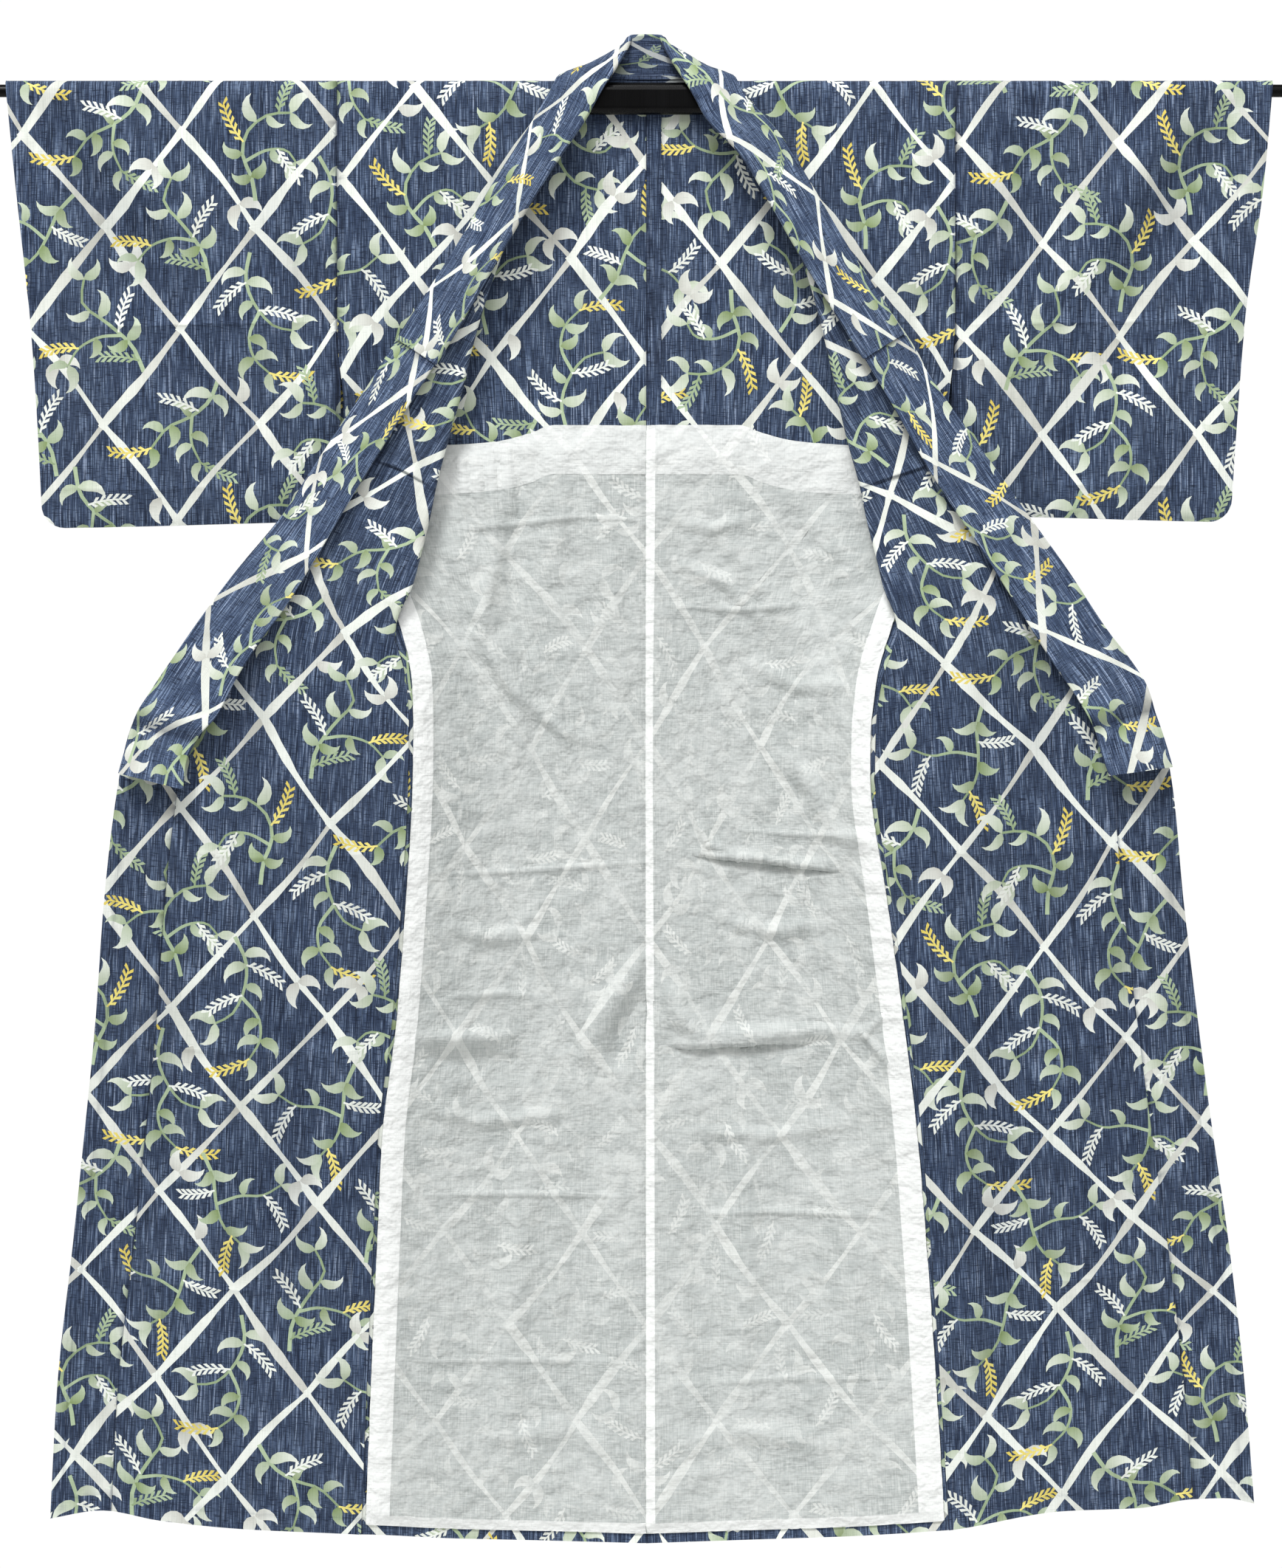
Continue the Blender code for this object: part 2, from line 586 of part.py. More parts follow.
def tube_faces(count, ring, turned=0):
    """Triangles of a skin through count rings of ring points. The diagonals of the last turned
    points run the other way, so that a skin inside another has the same facets."""
    faces = []
    for i in range(count - 1):
        for j in range(ring):
            k = (j + 1) % ring
            a, b, c, d = i * ring + j, i * ring + k, (i + 1) * ring + k, (i + 1) * ring + j
            faces += [(a, b, d), (b, c, d)] if j >= ring - turned else [(a, b, c), (a, c, d)]
    return faces


def facing_out(obj):
    mesh = bmesh.new()
    mesh.from_mesh(obj.data)
    bmesh.ops.triangulate(mesh, faces=[f for f in mesh.faces if len(f.verts) > 3])
    bmesh.ops.recalc_face_normals(mesh, faces=mesh.faces)
    if mesh.calc_volume(signed=True) < 0:
        bmesh.ops.reverse_faces(mesh, faces=mesh.faces)
    mesh.to_mesh(obj.data)
    mesh.free()


def collar(name, finish, collection):
    stations = loft_stations(0.045)
    half = COLLAR_THICK / 2
    rings = []
    for i in range(len(stations)):
        across = (0.0, *COVER_ACROSS)
        outer = band_section(stations, i, across, half)
        tip = band_section(stations, i, (1.0,), 0.0)
        inner = band_section(stations, i, across, -half)
        rings.append(outer + tip + list(reversed(inner)))
    ring = len(rings[0])
    faces = tube_faces(len(rings), ring)
    last = (len(rings) - 1) * ring
    faces += [tuple(range(ring)), tuple(last + j for j in range(ring))]
    obj = add(name, [p for r in rings for p in r], faces, finish, collection)
    facing_out(obj)
    return obj


def collar_cover(name, finish, collection):
    """The over-collar: a second width of cloth folded over the collar's free edge."""
    stations = [s for s in loft_stations(0.045)]
    reach = [abs(s[0]) for s in stations]
    keep = [i for i, r in enumerate(reach) if r <= COVER_REACH]
    near, far = COLLAR_THICK / 2 + COVER_GAP, COLLAR_THICK / 2 + COVER_GAP + COVER_WALL
    rings = []
    for i in keep:
        width = float(np.linalg.norm(stations[i][3] - stations[i][1]))
        across = COVER_ACROSS
        rise = 1 + COVER_GAP / width, 1 + (COVER_GAP + COVER_WALL) / width
        outside = band_section(stations, i, across, far) + band_section(stations, i, (rise[1],), 0.0)
        outside += list(reversed(band_section(stations, i, across, -far)))
        inside = band_section(stations, i, across, near) + band_section(stations, i, (rise[0],), 0.0)
        inside += list(reversed(band_section(stations, i, across, -near)))
        rings.append(outside + list(reversed(inside)))
    ring = len(rings[0])
    faces = tube_faces(len(rings), ring, ring // 2)
    h = ring // 2
    for start, flip in ((0, True), ((len(rings) - 1) * ring, False)):
        for j in range(h - 1):
            quad = (start + j, start + j + 1, start + ring - 2 - j, start + ring - 1 - j)
            faces.append(tuple(reversed(quad)) if flip else quad)
    obj = add(name, [p for r in rings for p in r], faces, finish, collection)
    facing_out(obj)
    return obj


def lining(name, side, sign, flat, finish, collection):
    """One half of the white lining, on the inner side of the back, from the hips to the hem. It is
    made from the back's own points, moved in."""
    away = WALL / 2 + SEAM_GAP + LINING_WALL / 2
    top, sides, foot = lining_outline(side)
    points, faces = flat
    placed = [np.array(p) for p in hung(side, sign, points)]

    def inside(u, v):
        if v >= 0 or v < foot[0][1] or v > np.interp(u, [p[0] for p in top], [p[1] for p in top]):
            return False
        z = level(v)
        return u > float(LINING_INSET("in", z)) * SHOULDER / float(OUTLINE[side]("side", z)) - 1e-4

    kept = [f for f in faces if inside(sum(points[i][0] for i in f) / 3, sum(points[i][1] for i in f) / 3)]
    normals = {}
    for f in kept:
        a, b, c = (placed[i] for i in f)
        n = np.cross(b - a, c - a)
        n = n if n[1] < 0 else -n
        for i in f:
            normals.setdefault(i, []).append(n / np.linalg.norm(n))
    number = {old: new for new, old in enumerate(sorted(normals))}
    moved = []
    for i in sorted(normals):
        n = sum(normals[i])
        n /= np.linalg.norm(n)
        reach = away / min(float(np.dot(n, m)) for m in normals[i])
        moved.append(placed[i] + n * reach)
    return add(name, moved, [tuple(number[i] for i in f) for f in kept], finish, collection, LINING_WALL, flip=sign > 0)


def rod_arm(name, sign, finish, collection):
    """One telescoping arm: a tube that comes out of the grip, then a thinner tip with its end cap."""
    start = GRIP_LENGTH / 2 + SEAM_GAP
    profile = [
        (start, 0.0),
        (start, TUBE_RADIUS - 0.0005),
        (start + 0.0005, TUBE_RADIUS),
        (TUBE_END - 0.001, TUBE_RADIUS),
        (TUBE_END, TUBE_RADIUS - 0.001),
        (TUBE_END, TIP_RADIUS),
        (ROD_HALF - 0.014, TIP_RADIUS),
        (ROD_HALF - 0.0135, TIP_RADIUS + 0.0008),
        (ROD_HALF - 0.0010, TIP_RADIUS + 0.0008),
        (ROD_HALF, TIP_RADIUS - 0.0002),
        (ROD_HALF, 0.0),
    ]
    mesh = bpy.data.meshes.new(name)
    mesh.from_pydata([(r, 0.0, -x) for x, r in profile], [(i, i + 1) for i in range(len(profile) - 1)], [])
    obj = bpy.data.objects.new(name, mesh)
    collection.objects.link(obj)
    mesh.materials.append(finish)
    turn = obj.modifiers.new("turned", "SCREW")
    turn.axis = "Z"
    turn.angle = math.tau
    turn.steps = turn.render_steps = 24
    turn.use_merge_vertices = True
    turn.merge_threshold = 0.00005
    turn.use_smooth_shade = True
    obj.rotation_euler = (0.0, -math.pi / 2 if sign > 0 else math.pi / 2, 0.0)
    obj.location = (0.0, 0.0, TUBE_AXIS_Z - 0.0)
    return obj


def rod_grip(name, finish, collection):
    """The rod's flat middle part, rounded along its edges."""
    bpy.ops.mesh.primitive_cube_add(size=1.0, location=(0.0, 0.0, TUBE_AXIS_Z + TUBE_RADIUS - GRIP_HEIGHT / 2))
    obj = bpy.context.object
    obj.name = name
    for vertex in obj.data.vertices:
        vertex.co.x *= GRIP_LENGTH
        vertex.co.y *= GRIP_DEPTH
        vertex.co.z *= GRIP_HEIGHT
    for owner in list(obj.users_collection):
        owner.objects.unlink(obj)
    collection.objects.link(obj)
    obj.data.materials.append(finish)
    bevel = obj.modifiers.new("rounded", "BEVEL")
    bevel.width = GRIP_DEPTH / 2 - 0.0002
    bevel.segments = 5
    return obj


def main():
    for obj in list(bpy.data.objects):
        bpy.data.objects.remove(obj)
    robe = bpy.data.collections.new("yukata_robe")
    bpy.context.scene.collection.children.link(robe)

    indigo = (0.045, 0.070, 0.165)
    for side, sign in SIDES:
        flat = cut_body(side)
        body_half(f"body_{side}", side, sign, flat, material(f"body_{side}_cotton", indigo, 0.86), robe)
        okumi(f"okumi_{side}", side, sign, material(f"okumi_{side}_cotton", (0.050, 0.078, 0.180), 0.86), robe)
        sleeve(f"sleeve_{side}", side, sign, material(f"sleeve_{side}_cotton", (0.048, 0.074, 0.172), 0.86), robe)
        lining(f"lining_{side}", side, sign, flat, material(f"lining_{side}_cotton", (0.62, 0.66, 0.66), 0.90), robe)
        rod_arm(f"rod_arm_{side}", sign, material(f"rod_arm_{side}_plastic", (0.010, 0.010, 0.011), 0.32), robe)
    collar("collar", material("collar_cotton", (0.056, 0.086, 0.200), 0.86), robe)
    collar_cover("collar_cover", material("collar_cover_cotton", (0.060, 0.090, 0.205), 0.86), robe)
    rod_grip("rod_grip", material("rod_grip_plastic", (0.010, 0.010, 0.011), 0.30), robe)
    for obj in robe.objects:
        if obj.name.startswith("rod") and obj.type == "MESH" and obj.data.polygons:
            obj.data.shade_smooth()


main()
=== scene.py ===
"""Looks of the cotton yukata robe that hangs open on its rod.

Every cloth piece is cut flat in cloth coordinates (u across, v along, in metres). The print's shapes
are cut into the flat piece as polygons, then the piece is hung by the same rules as the solids, and
gets its two faces. Distances named px are read off the front view, 1270 to the metre.
"""

import math

import bpy
import numpy as np
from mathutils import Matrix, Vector, geometry


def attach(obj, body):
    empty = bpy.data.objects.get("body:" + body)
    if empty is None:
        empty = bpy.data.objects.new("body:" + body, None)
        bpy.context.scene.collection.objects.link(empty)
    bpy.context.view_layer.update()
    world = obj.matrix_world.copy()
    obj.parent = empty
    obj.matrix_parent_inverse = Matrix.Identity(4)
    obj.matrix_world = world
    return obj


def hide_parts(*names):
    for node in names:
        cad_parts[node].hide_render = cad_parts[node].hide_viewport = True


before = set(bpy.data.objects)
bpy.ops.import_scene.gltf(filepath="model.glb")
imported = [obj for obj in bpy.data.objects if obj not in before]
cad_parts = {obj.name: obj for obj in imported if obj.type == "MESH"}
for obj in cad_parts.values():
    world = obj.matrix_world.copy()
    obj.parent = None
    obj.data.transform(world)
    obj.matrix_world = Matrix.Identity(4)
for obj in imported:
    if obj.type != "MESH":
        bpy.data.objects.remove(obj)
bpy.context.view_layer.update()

# ---- sizes shared with the solids, in metres ----
WALL = 0.0009
LINING_WALL = 0.0007
SEAM_GAP = 0.0003
COLLAR_THICK = 0.0032
COVER_LIFT = 0.0029
LENGTH = 1.5490
SHOULDER = 0.3290
NECK = 0.0885
CUFF_OPEN = 0.2300
CORNER = 0.0250
OKUMI_WIDTH = 0.0650
OKUMI_TOP = -0.2400
COVER_REACH = 0.4330
LINING_RISE = 0.0110
TUBE_AXIS_Z = 0.0015
HANG = 0.0104
ARC = HANG * math.pi / 2
LENGTH_V = LENGTH + TUBE_AXIS_Z + ARC
SIDES = (("right", -1.0), ("left", 1.0))


class Table:
    """Rows of sizes with named columns, read between rows on a smooth curve with no overshoot."""

    def __init__(self, names, rows):
        data = np.array(sorted(rows), float)
        self.x = data[:, 0]
        self.columns = dict(zip(names.split(), data.T))

    def __call__(self, name, x):
        x0, y = self.x, self.columns[name]
        h = np.diff(x0)
        d = np.diff(y) / h
        m = np.zeros_like(y)
        same = d[:-1] * d[1:] > 0
        w1, w2 = 2 * h[1:] + h[:-1], h[1:] + 2 * h[:-1]
        with np.errstate(divide="ignore", invalid="ignore"):
            mean = (w1 + w2) / (w1 / d[:-1] + w2 / d[1:])
        m[1:-1] = np.where(same, mean, 0.0)
        m[0], m[-1] = d[0], d[-1]
        x = np.clip(np.asarray(x, float), x0[0], x0[-1])
        i = np.clip(np.searchsorted(x0, x) - 1, 0, len(h) - 1)
        t = (x - x0[i]) / h[i]
        return (
            (2 * t**3 - 3 * t**2 + 1) * y[i]
            + (t**3 - 2 * t**2 + t) * h[i] * m[i]
            + (3 * t**2 - 2 * t**3) * y[i + 1]
            + (t**3 - t**2) * h[i] * m[i + 1]
        )


def ease(x):
    x = np.clip(x, 0.0, 1.0)
    return x * x * (3 - 2 * x)


OUTLINE = {
    "right": Table(
        "z side roll edge",
        [
            (0.0130, 0.3290, 0.0885, 0.0885),
            (-0.0280, 0.3290, 0.1040, 0.1160),
            (-0.1010, 0.3290, 0.1270, 0.1575),
            (-0.1810, 0.3290, 0.1560, 0.2087),
            (-0.2190, 0.3290, 0.1690, 0.2360),
            (-0.2750, 0.3280, 0.1850, 0.2710),
            (-0.3110, 0.3240, 0.1930, 0.2940),
            (-0.3660, 0.3190, 0.2085, 0.3310),
            (-0.4250, 0.3170, 0.2236, 0.3680),
            (-0.4530, 0.3120, 0.2290, 0.3870),
            (-0.5160, 0.2940, 0.2440, 0.4390),
            (-0.5680, 0.2720, 0.2570, 0.4770),
            (-0.6370, 0.2530, 0.2530, 0.5240),
            (-0.6770, 0.2510, 0.2510, 0.5470),
            (-0.7270, 0.2515, 0.2515, 0.5590),
            (-0.8630, 0.2590, 0.2590, 0.5760),
            (-0.9880, 0.2690, 0.2690, 0.5850),
            (-1.1140, 0.2840, 0.2840, 0.5970),
            (-1.2390, 0.2900, 0.2900, 0.6090),
            (-1.4060, 0.2970, 0.2970, 0.6260),
            (-1.5600, 0.3030, 0.3030, 0.6340),
        ],
    ),
    "left": Table(
        "z side roll edge",
        [
            (0.0130, 0.3290, 0.0890, 0.0890),
            (-0.0280, 0.3290, 0.1110, 0.1250),
            (-0.1010, 0.3290, 0.1380, 0.1724),
            (-0.1810, 0.3290, 0.1660, 0.2210),
            (-0.2190, 0.3290, 0.1780, 0.2480),
            (-0.2750, 0.3280, 0.1920, 0.2860),
            (-0.3110, 0.3240, 0.2000, 0.3060),
            (-0.3660, 0.3190, 0.2120, 0.3430),
            (-0.4250, 0.3170, 0.2276, 0.3840),
            (-0.4530, 0.3120, 0.2330, 0.4044),
            (-0.5160, 0.2940, 0.2480, 0.4500),
            (-0.5680, 0.2720, 0.2580, 0.4830),
            (-0.6370, 0.2480, 0.2480, 0.5330),
            (-0.6770, 0.2430, 0.2430, 0.5430),
            (-0.7270, 0.2420, 0.2420, 0.5570),
            (-0.8630, 0.2600, 0.2600, 0.5710),
            (-0.9880, 0.2770, 0.2770, 0.5860),
            (-1.1140, 0.2920, 0.2920, 0.6020),
            (-1.2390, 0.3020, 0.3020, 0.6180),
            (-1.4060, 0.3130, 0.3130, 0.6350),
            (-1.5600, 0.3220, 0.3220, 0.6470),
        ],
    ),
}
DEPTH = Table(
    "z side roll edge back turn",
    [
        (0.0130, -HANG, -HANG, -HANG, HANG, 0.0015),
        (-0.0120, -HANG, -HANG, -0.0120, HANG, 0.0018),
        (-0.0500, -HANG, -HANG, -0.0165, HANG, 0.0030),
        (-0.1000, -HANG, -0.0105, -0.0210, HANG, 0.0050),
        (-0.2200, -HANG, -0.0120, -0.0230, HANG, 0.0050),
        (-0.3100, -0.0070, -0.0145, -0.0245, 0.0060, 0.0050),
        (-0.3660, -0.0040, -0.0175, -0.0255, -0.0014, 0.0050),
        (-0.4300, -0.0120, -0.0220, -0.0260, -0.0094, 0.0050),
        (-0.5160, -0.0320, -0.0350, -0.0260, -0.0294, 0.0048),
        (-0.5700, -0.0430, -0.0445, -0.0260, -0.0404, 0.0040),
        (-0.6400, -0.0500, -0.0510, -0.0250, -0.0474, 0.0020),
        (-0.7500, -0.0520, -0.0530, -0.0220, -0.0494, 0.0020),
        (-1.0000, -0.0460, -0.0470, -0.0200, -0.0434, 0.0020),
        (-1.2500, -0.0380, -0.0390, -0.0190, -0.0354, 0.0020),
        (-1.5600, -0.0300, -0.0310, -0.0180, -0.0274, 0.0020),
    ],
)
HEM = {
    "right": Table(
        "x lift",
        [(0.0, 0.0), (0.20, 0.0065), (0.30, 0.0144), (0.43, 0.0200), (0.517, 0.0285), (0.578, 0.0390), (0.635, 0.0300)],
    ),
    "left": Table(
        "x lift",
        [(0.0, 0.0), (0.20, 0.0080), (0.32, 0.0190), (0.444, 0.0390), (0.525, 0.0420), (0.58, 0.0510), (0.6165, 0.0520), (0.647, 0.0460)],
    ),
}
SLEEVE_OUT = {
    "right": Table("z x", [(0.013, 0.6827), (-0.098, 0.6717), (-0.232, 0.6575), (-0.335, 0.6500), (-0.470, 0.6430)]),
    "left": Table("z x", [(0.013, 0.6677), (-0.098, 0.6575), (-0.232, 0.6394), (-0.335, 0.6310), (-0.470, 0.6220)]),
}
SLEEVE_DROP = {
    "right": Table("x z", [(0.329, -0.4570), (0.395, -0.4590), (0.625, -0.4646), (0.690, -0.4650)]),
    "left": Table("x z", [(0.329, -0.4515), (0.402, -0.4528), (0.604, -0.4580), (0.690, -0.4590)]),
}
SLEEVE_HALF_GAP = Table("z y", [(0.013, HANG), (-0.05, HANG), (-0.25, 0.0075), (-0.40, 0.0065), (-0.47, 0.0060)])
NECK_ROWS = Table(
    "k sx sy sz cx cy cz mx my mz",
    [
        (0, 0.0000, 0.0130, 0.0125, 0.0000, 0.0195, 0.0370, 0.0000, 0.0240, 0.0620),
        (1, 0.0300, 0.0130, 0.0128, 0.0235, 0.0185, 0.0375, 0.0165, 0.0210, 0.0610),
        (2, 0.0580, 0.0115, 0.0142, 0.0405, 0.0125, 0.0385, 0.0215, 0.0100, 0.0500),
        (3, 0.0790, 0.0040, 0.0160, 0.0575, 0.0020, 0.0290, 0.0320, -0.0050, 0.0300),
        (4, 0.0925, -0.0095, 0.0140, 0.0715, -0.0130, 0.0175, 0.0480, -0.0175, 0.0040),
        (5, 0.1040, -0.0168, -0.0030, 0.0835, -0.0208, -0.0100, 0.0640, -0.0225, -0.0260),
    ],
)
COLLAR_LINE = {
    "right": [
        (0.1300, -0.0480, 0.0913, -0.0677),
        (0.1640, -0.1020, 0.1250, -0.1210),
        (0.2030, -0.1690, 0.1620, -0.1850),
        (0.2570, -0.2530, 0.2170, -0.2790),
        (0.2920, -0.3100, 0.2530, -0.3360),
        (0.3500, -0.3970, 0.3080, -0.4250),
        (0.3910, -0.4600, 0.3450, -0.4880),
        (0.4340, -0.5110, 0.3810, -0.5470),
        (0.4740, -0.5640, 0.4165, -0.5960),
        (0.5010, -0.6030, 0.4390, -0.6330),
        (0.5240, -0.6370, 0.4560, -0.6660),
        (0.5440, -0.6720, 0.4760, -0.6890),
        (0.5520, -0.7000, 0.4880, -0.7160),
        (0.5590, -0.7270, 0.4906, -0.7440),
    ],
    "left": [
        (0.1420, -0.0470, 0.1030, -0.0700),
        (0.1730, -0.0970, 0.1330, -0.1197),
        (0.2110, -0.1620, 0.1710, -0.1856),
        (0.2670, -0.2480, 0.2255, -0.2744),
        (0.3030, -0.3080, 0.2614, -0.3340),
        (0.3520, -0.3770, 0.3020, -0.4063),
        (0.4090, -0.4580, 0.3570, -0.4906),
        (0.4450, -0.5080, 0.3900, -0.5430),
        (0.4900, -0.5760, 0.4323, -0.6100),
        (0.5170, -0.6110, 0.4575, -0.6465),
        (0.5300, -0.6320, 0.4680, -0.6650),
        (0.5390, -0.6590, 0.4764, -0.6810),
        (0.5490, -0.6900, 0.4830, -0.7060),
        (0.5575, -0.7205, 0.4906, -0.7295),
    ],
}
LINING_TOP = Table("x z", [(0.0, -0.3550), (0.10, -0.3552), (0.125, -0.3640), (0.16, -0.3725), (0.21, -0.3765), (0.33, -0.3800)])
LINING_INSET = Table("z in", [(-0.34, 0.0120), (-0.56, 0.0100), (-0.66, 0.0040), (-1.56, 0.0040)])


# ---- where a point of cloth hangs ----
def hang(v):
    v = np.asarray(v, float)
    a = np.minimum(np.abs(v), ARC) / HANG
    return HANG * np.sin(a), TUBE_AXIS_Z + HANG * np.cos(a) - np.maximum(0.0, np.abs(v) - ARC)


def lifted(side, x, z):
    return z + HEM[side]("lift", np.abs(x)) * ease((-z - 1.0) / (LENGTH - 1.0))


ROW_V = np.concatenate([np.linspace(0, ARC, 9)[:-1], np.arange(ARC, LENGTH_V + 0.009, 0.004)])
COL_U = np.arange(0.0, 0.440, 0.002)
FOLD = 11  # points round the roll


def front_sections(side):
    """Every row's course from the side edge over the roll to the front edge, at even steps of u."""
    y0, z = hang(ROW_V)
    out, d = OUTLINE[side], DEPTH
    ax, ay, ex, ey = out("side", z), d("side", z), out("edge", z), d("edge", z)
    rx, ry, r = out("roll", z), d("roll", z), d("turn", z)
    top = ROW_V < ARC
    ay, ey, ry = (np.where(top, -y0, y) for y in (ay, ey, ry))
    turned = ease((ROW_V - ARC) / 0.040) * (1 - ease((-z - 0.53) / 0.09))
    angle = np.linspace(0, math.pi, FOLD)
    fold_x = rx[:, None] + r[:, None] * (1 - np.sin(angle))
    fold_y = ry[:, None] + r[:, None] * (np.cos(angle) - 1)
    high = (ROW_V < ARC + 0.3)[:, None]
    k_high, k_low = np.linspace(0.020, 0.007, FOLD)[None], np.linspace(0.010, 0.030, FOLD)[None]
    flat_x = np.where(high, ex[:, None] + (ax - ex)[:, None] * k_high, ax[:, None] + (ex - ax)[:, None] * k_low)
    flat_y = np.where(high, ey[:, None] + (ay - ey)[:, None] * k_high, ay[:, None] + (ey - ay)[:, None] * k_low)
    t = turned[:, None]
    px = np.concatenate([ax[:, None], fold_x * t + flat_x * (1 - t), ex[:, None]], axis=1)
    py = np.concatenate([ay[:, None], fold_y * t + flat_y * (1 - t), ey[:, None]], axis=1)
    reach = np.concatenate([np.zeros((len(px), 1)), np.cumsum(np.hypot(np.diff(px), np.diff(py)), axis=1)], axis=1)
    gx = np.empty((len(px), len(COL_U)))
    gy = np.empty_like(gx)
    for i in range(len(px)):
        gx[i] = np.interp(COL_U, reach[i], px[i])
        gy[i] = np.interp(COL_U, reach[i], py[i])
        over = COL_U > reach[i, -1]
        gx[i, over] += COL_U[over] - reach[i, -1]
    return {"x": gx, "y": gy, "reach": reach, "px": px}


FRONT = {side: front_sections(side) for side, _ in SIDES}


def row_value(values, v):
    return np.interp(np.abs(v), ROW_V, values)


def look(grid, u, v):
    """A grid's value at (u, v), between its four nearest points."""
    i = np.clip(np.searchsorted(ROW_V, v) - 1, 0, len(ROW_V) - 2)
    a = np.clip((v - ROW_V[i]) / (ROW_V[i + 1] - ROW_V[i]), 0, 1)
    j = np.clip((u / 0.002).astype(int), 0, len(COL_U) - 2)
    b = np.clip(u / 0.002 - j, -2, 3)
    return (grid[i, j] * (1 - b) + grid[i, j + 1] * b) * (1 - a) + (grid[i + 1, j] * (1 - b) + grid[i + 1, j + 1] * b) * a


def at_front(side, u, v):
    return look(FRONT[side]["x"], u, v), look(FRONT[side]["y"], u, v), hang(v)[1]


def at_back(side, u, v):
    y0, z = hang(v)
    edge = OUTLINE[side]("side", z)
    x = edge * (1 - u / SHOULDER)
    wide = ease((-z - 0.20) / 0.06) * (1 - ease((-z - 0.50) / 0.05)) * (np.asarray(v) < -ARC)
    x = x + 0.010 * wide * np.clip(1 - u / 0.03, 0, 1)
    q = np.maximum(0.0, (np.abs(x) - 0.09) / (edge - 0.09))
    y = np.where(np.abs(v) < ARC, y0, HANG + (DEPTH("back", z) - HANG) * q * q)
    k = np.where(np.abs(v) < ARC, ease((u - (SHOULDER - NECK)) / 0.025), 0.0)
    y = y + (HANG - y) * k
    z = z + (TUBE_AXIS_Z + ARC - np.abs(v) - z) * k
    return x, y, z


def front_u(side, x, v, flap=True):
    """The u of the turned-out part, or of the hanging part, that lies x out from the middle."""
    x, v = np.broadcast_arrays(np.asarray(x, float), np.asarray(v, float))
    out = np.empty(x.shape)
    f = FRONT[side]
    px, reach = f["px"], f["reach"]
    for n in np.ndindex(x.shape):
        i = min(len(ROW_V) - 1, int(np.searchsorted(ROW_V, v[n])))
        if flap:
            a, b, ra, rb = px[i, FOLD], px[i, -1], reach[i, FOLD], reach[i, -1]
        else:
            a, b, ra, rb = px[i, 0], px[i, 1], reach[i, 0], reach[i, 1]
        out[n] = ra + (rb - ra) * (x[n] - a) / (b - a) if abs(b - a) > 1e-6 else ra
    return out


def px_xz(px, py):
    return (np.asarray(px, float) - 875.0) / 1270.0, (125.0 - np.asarray(py, float)) / 1270.0


def v_of_z(z):
    """Cloth past the shoulder fold for a height below it."""
    return TUBE_AXIS_Z + ARC - np.asarray(z, float)


# ---- the print: a brushed lattice with vines in its diamonds ----
CELL_A, CELL_B = 0.1640, 0.2070
WHITE, CREAM = (0.87, 0.90, 0.84), (0.70, 0.76, 0.62)
SHELL = (0.60, 0.60, 0.55)
GREEN, MOSS, PALE = (0.300, 0.395, 0.225), (0.235, 0.315, 0.130), (0.46, 0.57, 0.38)
YELLOW, OCHRE = (0.95, 0.84, 0.27), (0.78, 0.63, 0.14)


def dice(*keys):
    """An even number from 0 to 1 that depends only on the keys."""
    n = 2166136261
    for k in keys:
        n = ((n ^ (int(k) & 0xFFFFFFFF)) * 16777619) & 0xFFFFFFFF
        n ^= n >> 13
    n = (n * 2246822519) & 0xFFFFFFFF
    n ^= n >> 15
    return (n & 0xFFFFFF) / float(0x1000000)


def curve_through(points, count):
    """Even points on a smooth curve through the given ones."""
    p = np.array(points, float)
    p = np.vstack([2 * p[0] - p[1], p, 2 * p[-1] - p[-2]])
    out = []
    for i in range(1, len(p) - 2):
        for t in np.linspace(0, 1, 8, endpoint=False):
            a, b, c, d = p[i - 1], p[i], p[i + 1], p[i + 2]
            out.append(0.5 * ((2 * b) + (c - a) * t + (2 * a - 5 * b + 4 * c - d) * t**2 + (3 * b - a - 3 * c + d) * t**3))
    out.append(p[-2])
    out = np.array(out)
    s = np.concatenate([[0], np.cumsum(np.hypot(*np.diff(out, axis=0).T))])
    want = np.linspace(0, s[-1], count)
    return np.stack([np.interp(want, s, out[:, 0]), np.interp(want, s, out[:, 1])], axis=1)


def directions(line):
    d = np.gradient(line, axis=0)
    return d / np.maximum(1e-9, np.hypot(d[:, 0], d[:, 1]))[:, None]


def ribbon(line, widths):
    d = directions(line)
    n = np.stack([-d[:, 1], d[:, 0]], axis=1) * (np.asarray(widths) / 2)[:, None]
    return np.vstack([line + n, (line - n)[::-1]])


def leaf(x, y, angle, long, wide, bend, c0, c1):
    """A comma leaf: a slim foot, a full back, a nearly straight belly and a curled point."""
    t = np.linspace(0, 1, 7)
    a = angle + bend * (1.5 * t**1.8 - 0.30)
    step = long / 6
    cx = x + np.concatenate([[0], np.cumsum(np.cos(a[:-1]) * step)])
    cy = y + np.concatenate([[0], np.cumsum(np.sin(a[:-1]) * step)])
    line = np.stack([cx, cy], axis=1)
    d = directions(line)
    n = np.stack([-d[:, 1], d[:, 0]], axis=1)
    full = np.sin(math.pi * t**0.82) * (1 - 0.38 * t) + 0.08 * (1 - t)
    thin = np.sin(math.pi * t**0.72) * (0.72 - 0.50 * t) + 0.08 * (1 - t)
    side = -1.0 if bend > 0 else 1.0
    upper = line + n * (side * wide * 0.60 * full)[:, None]
    lower = line - n * (side * wide * 0.5 * thin)[:, None]
    ring = np.vstack([upper[:-1], line[-1:], lower[:-1][::-1]])
    return [(ring, c0, c1, line[0], line[-1])]


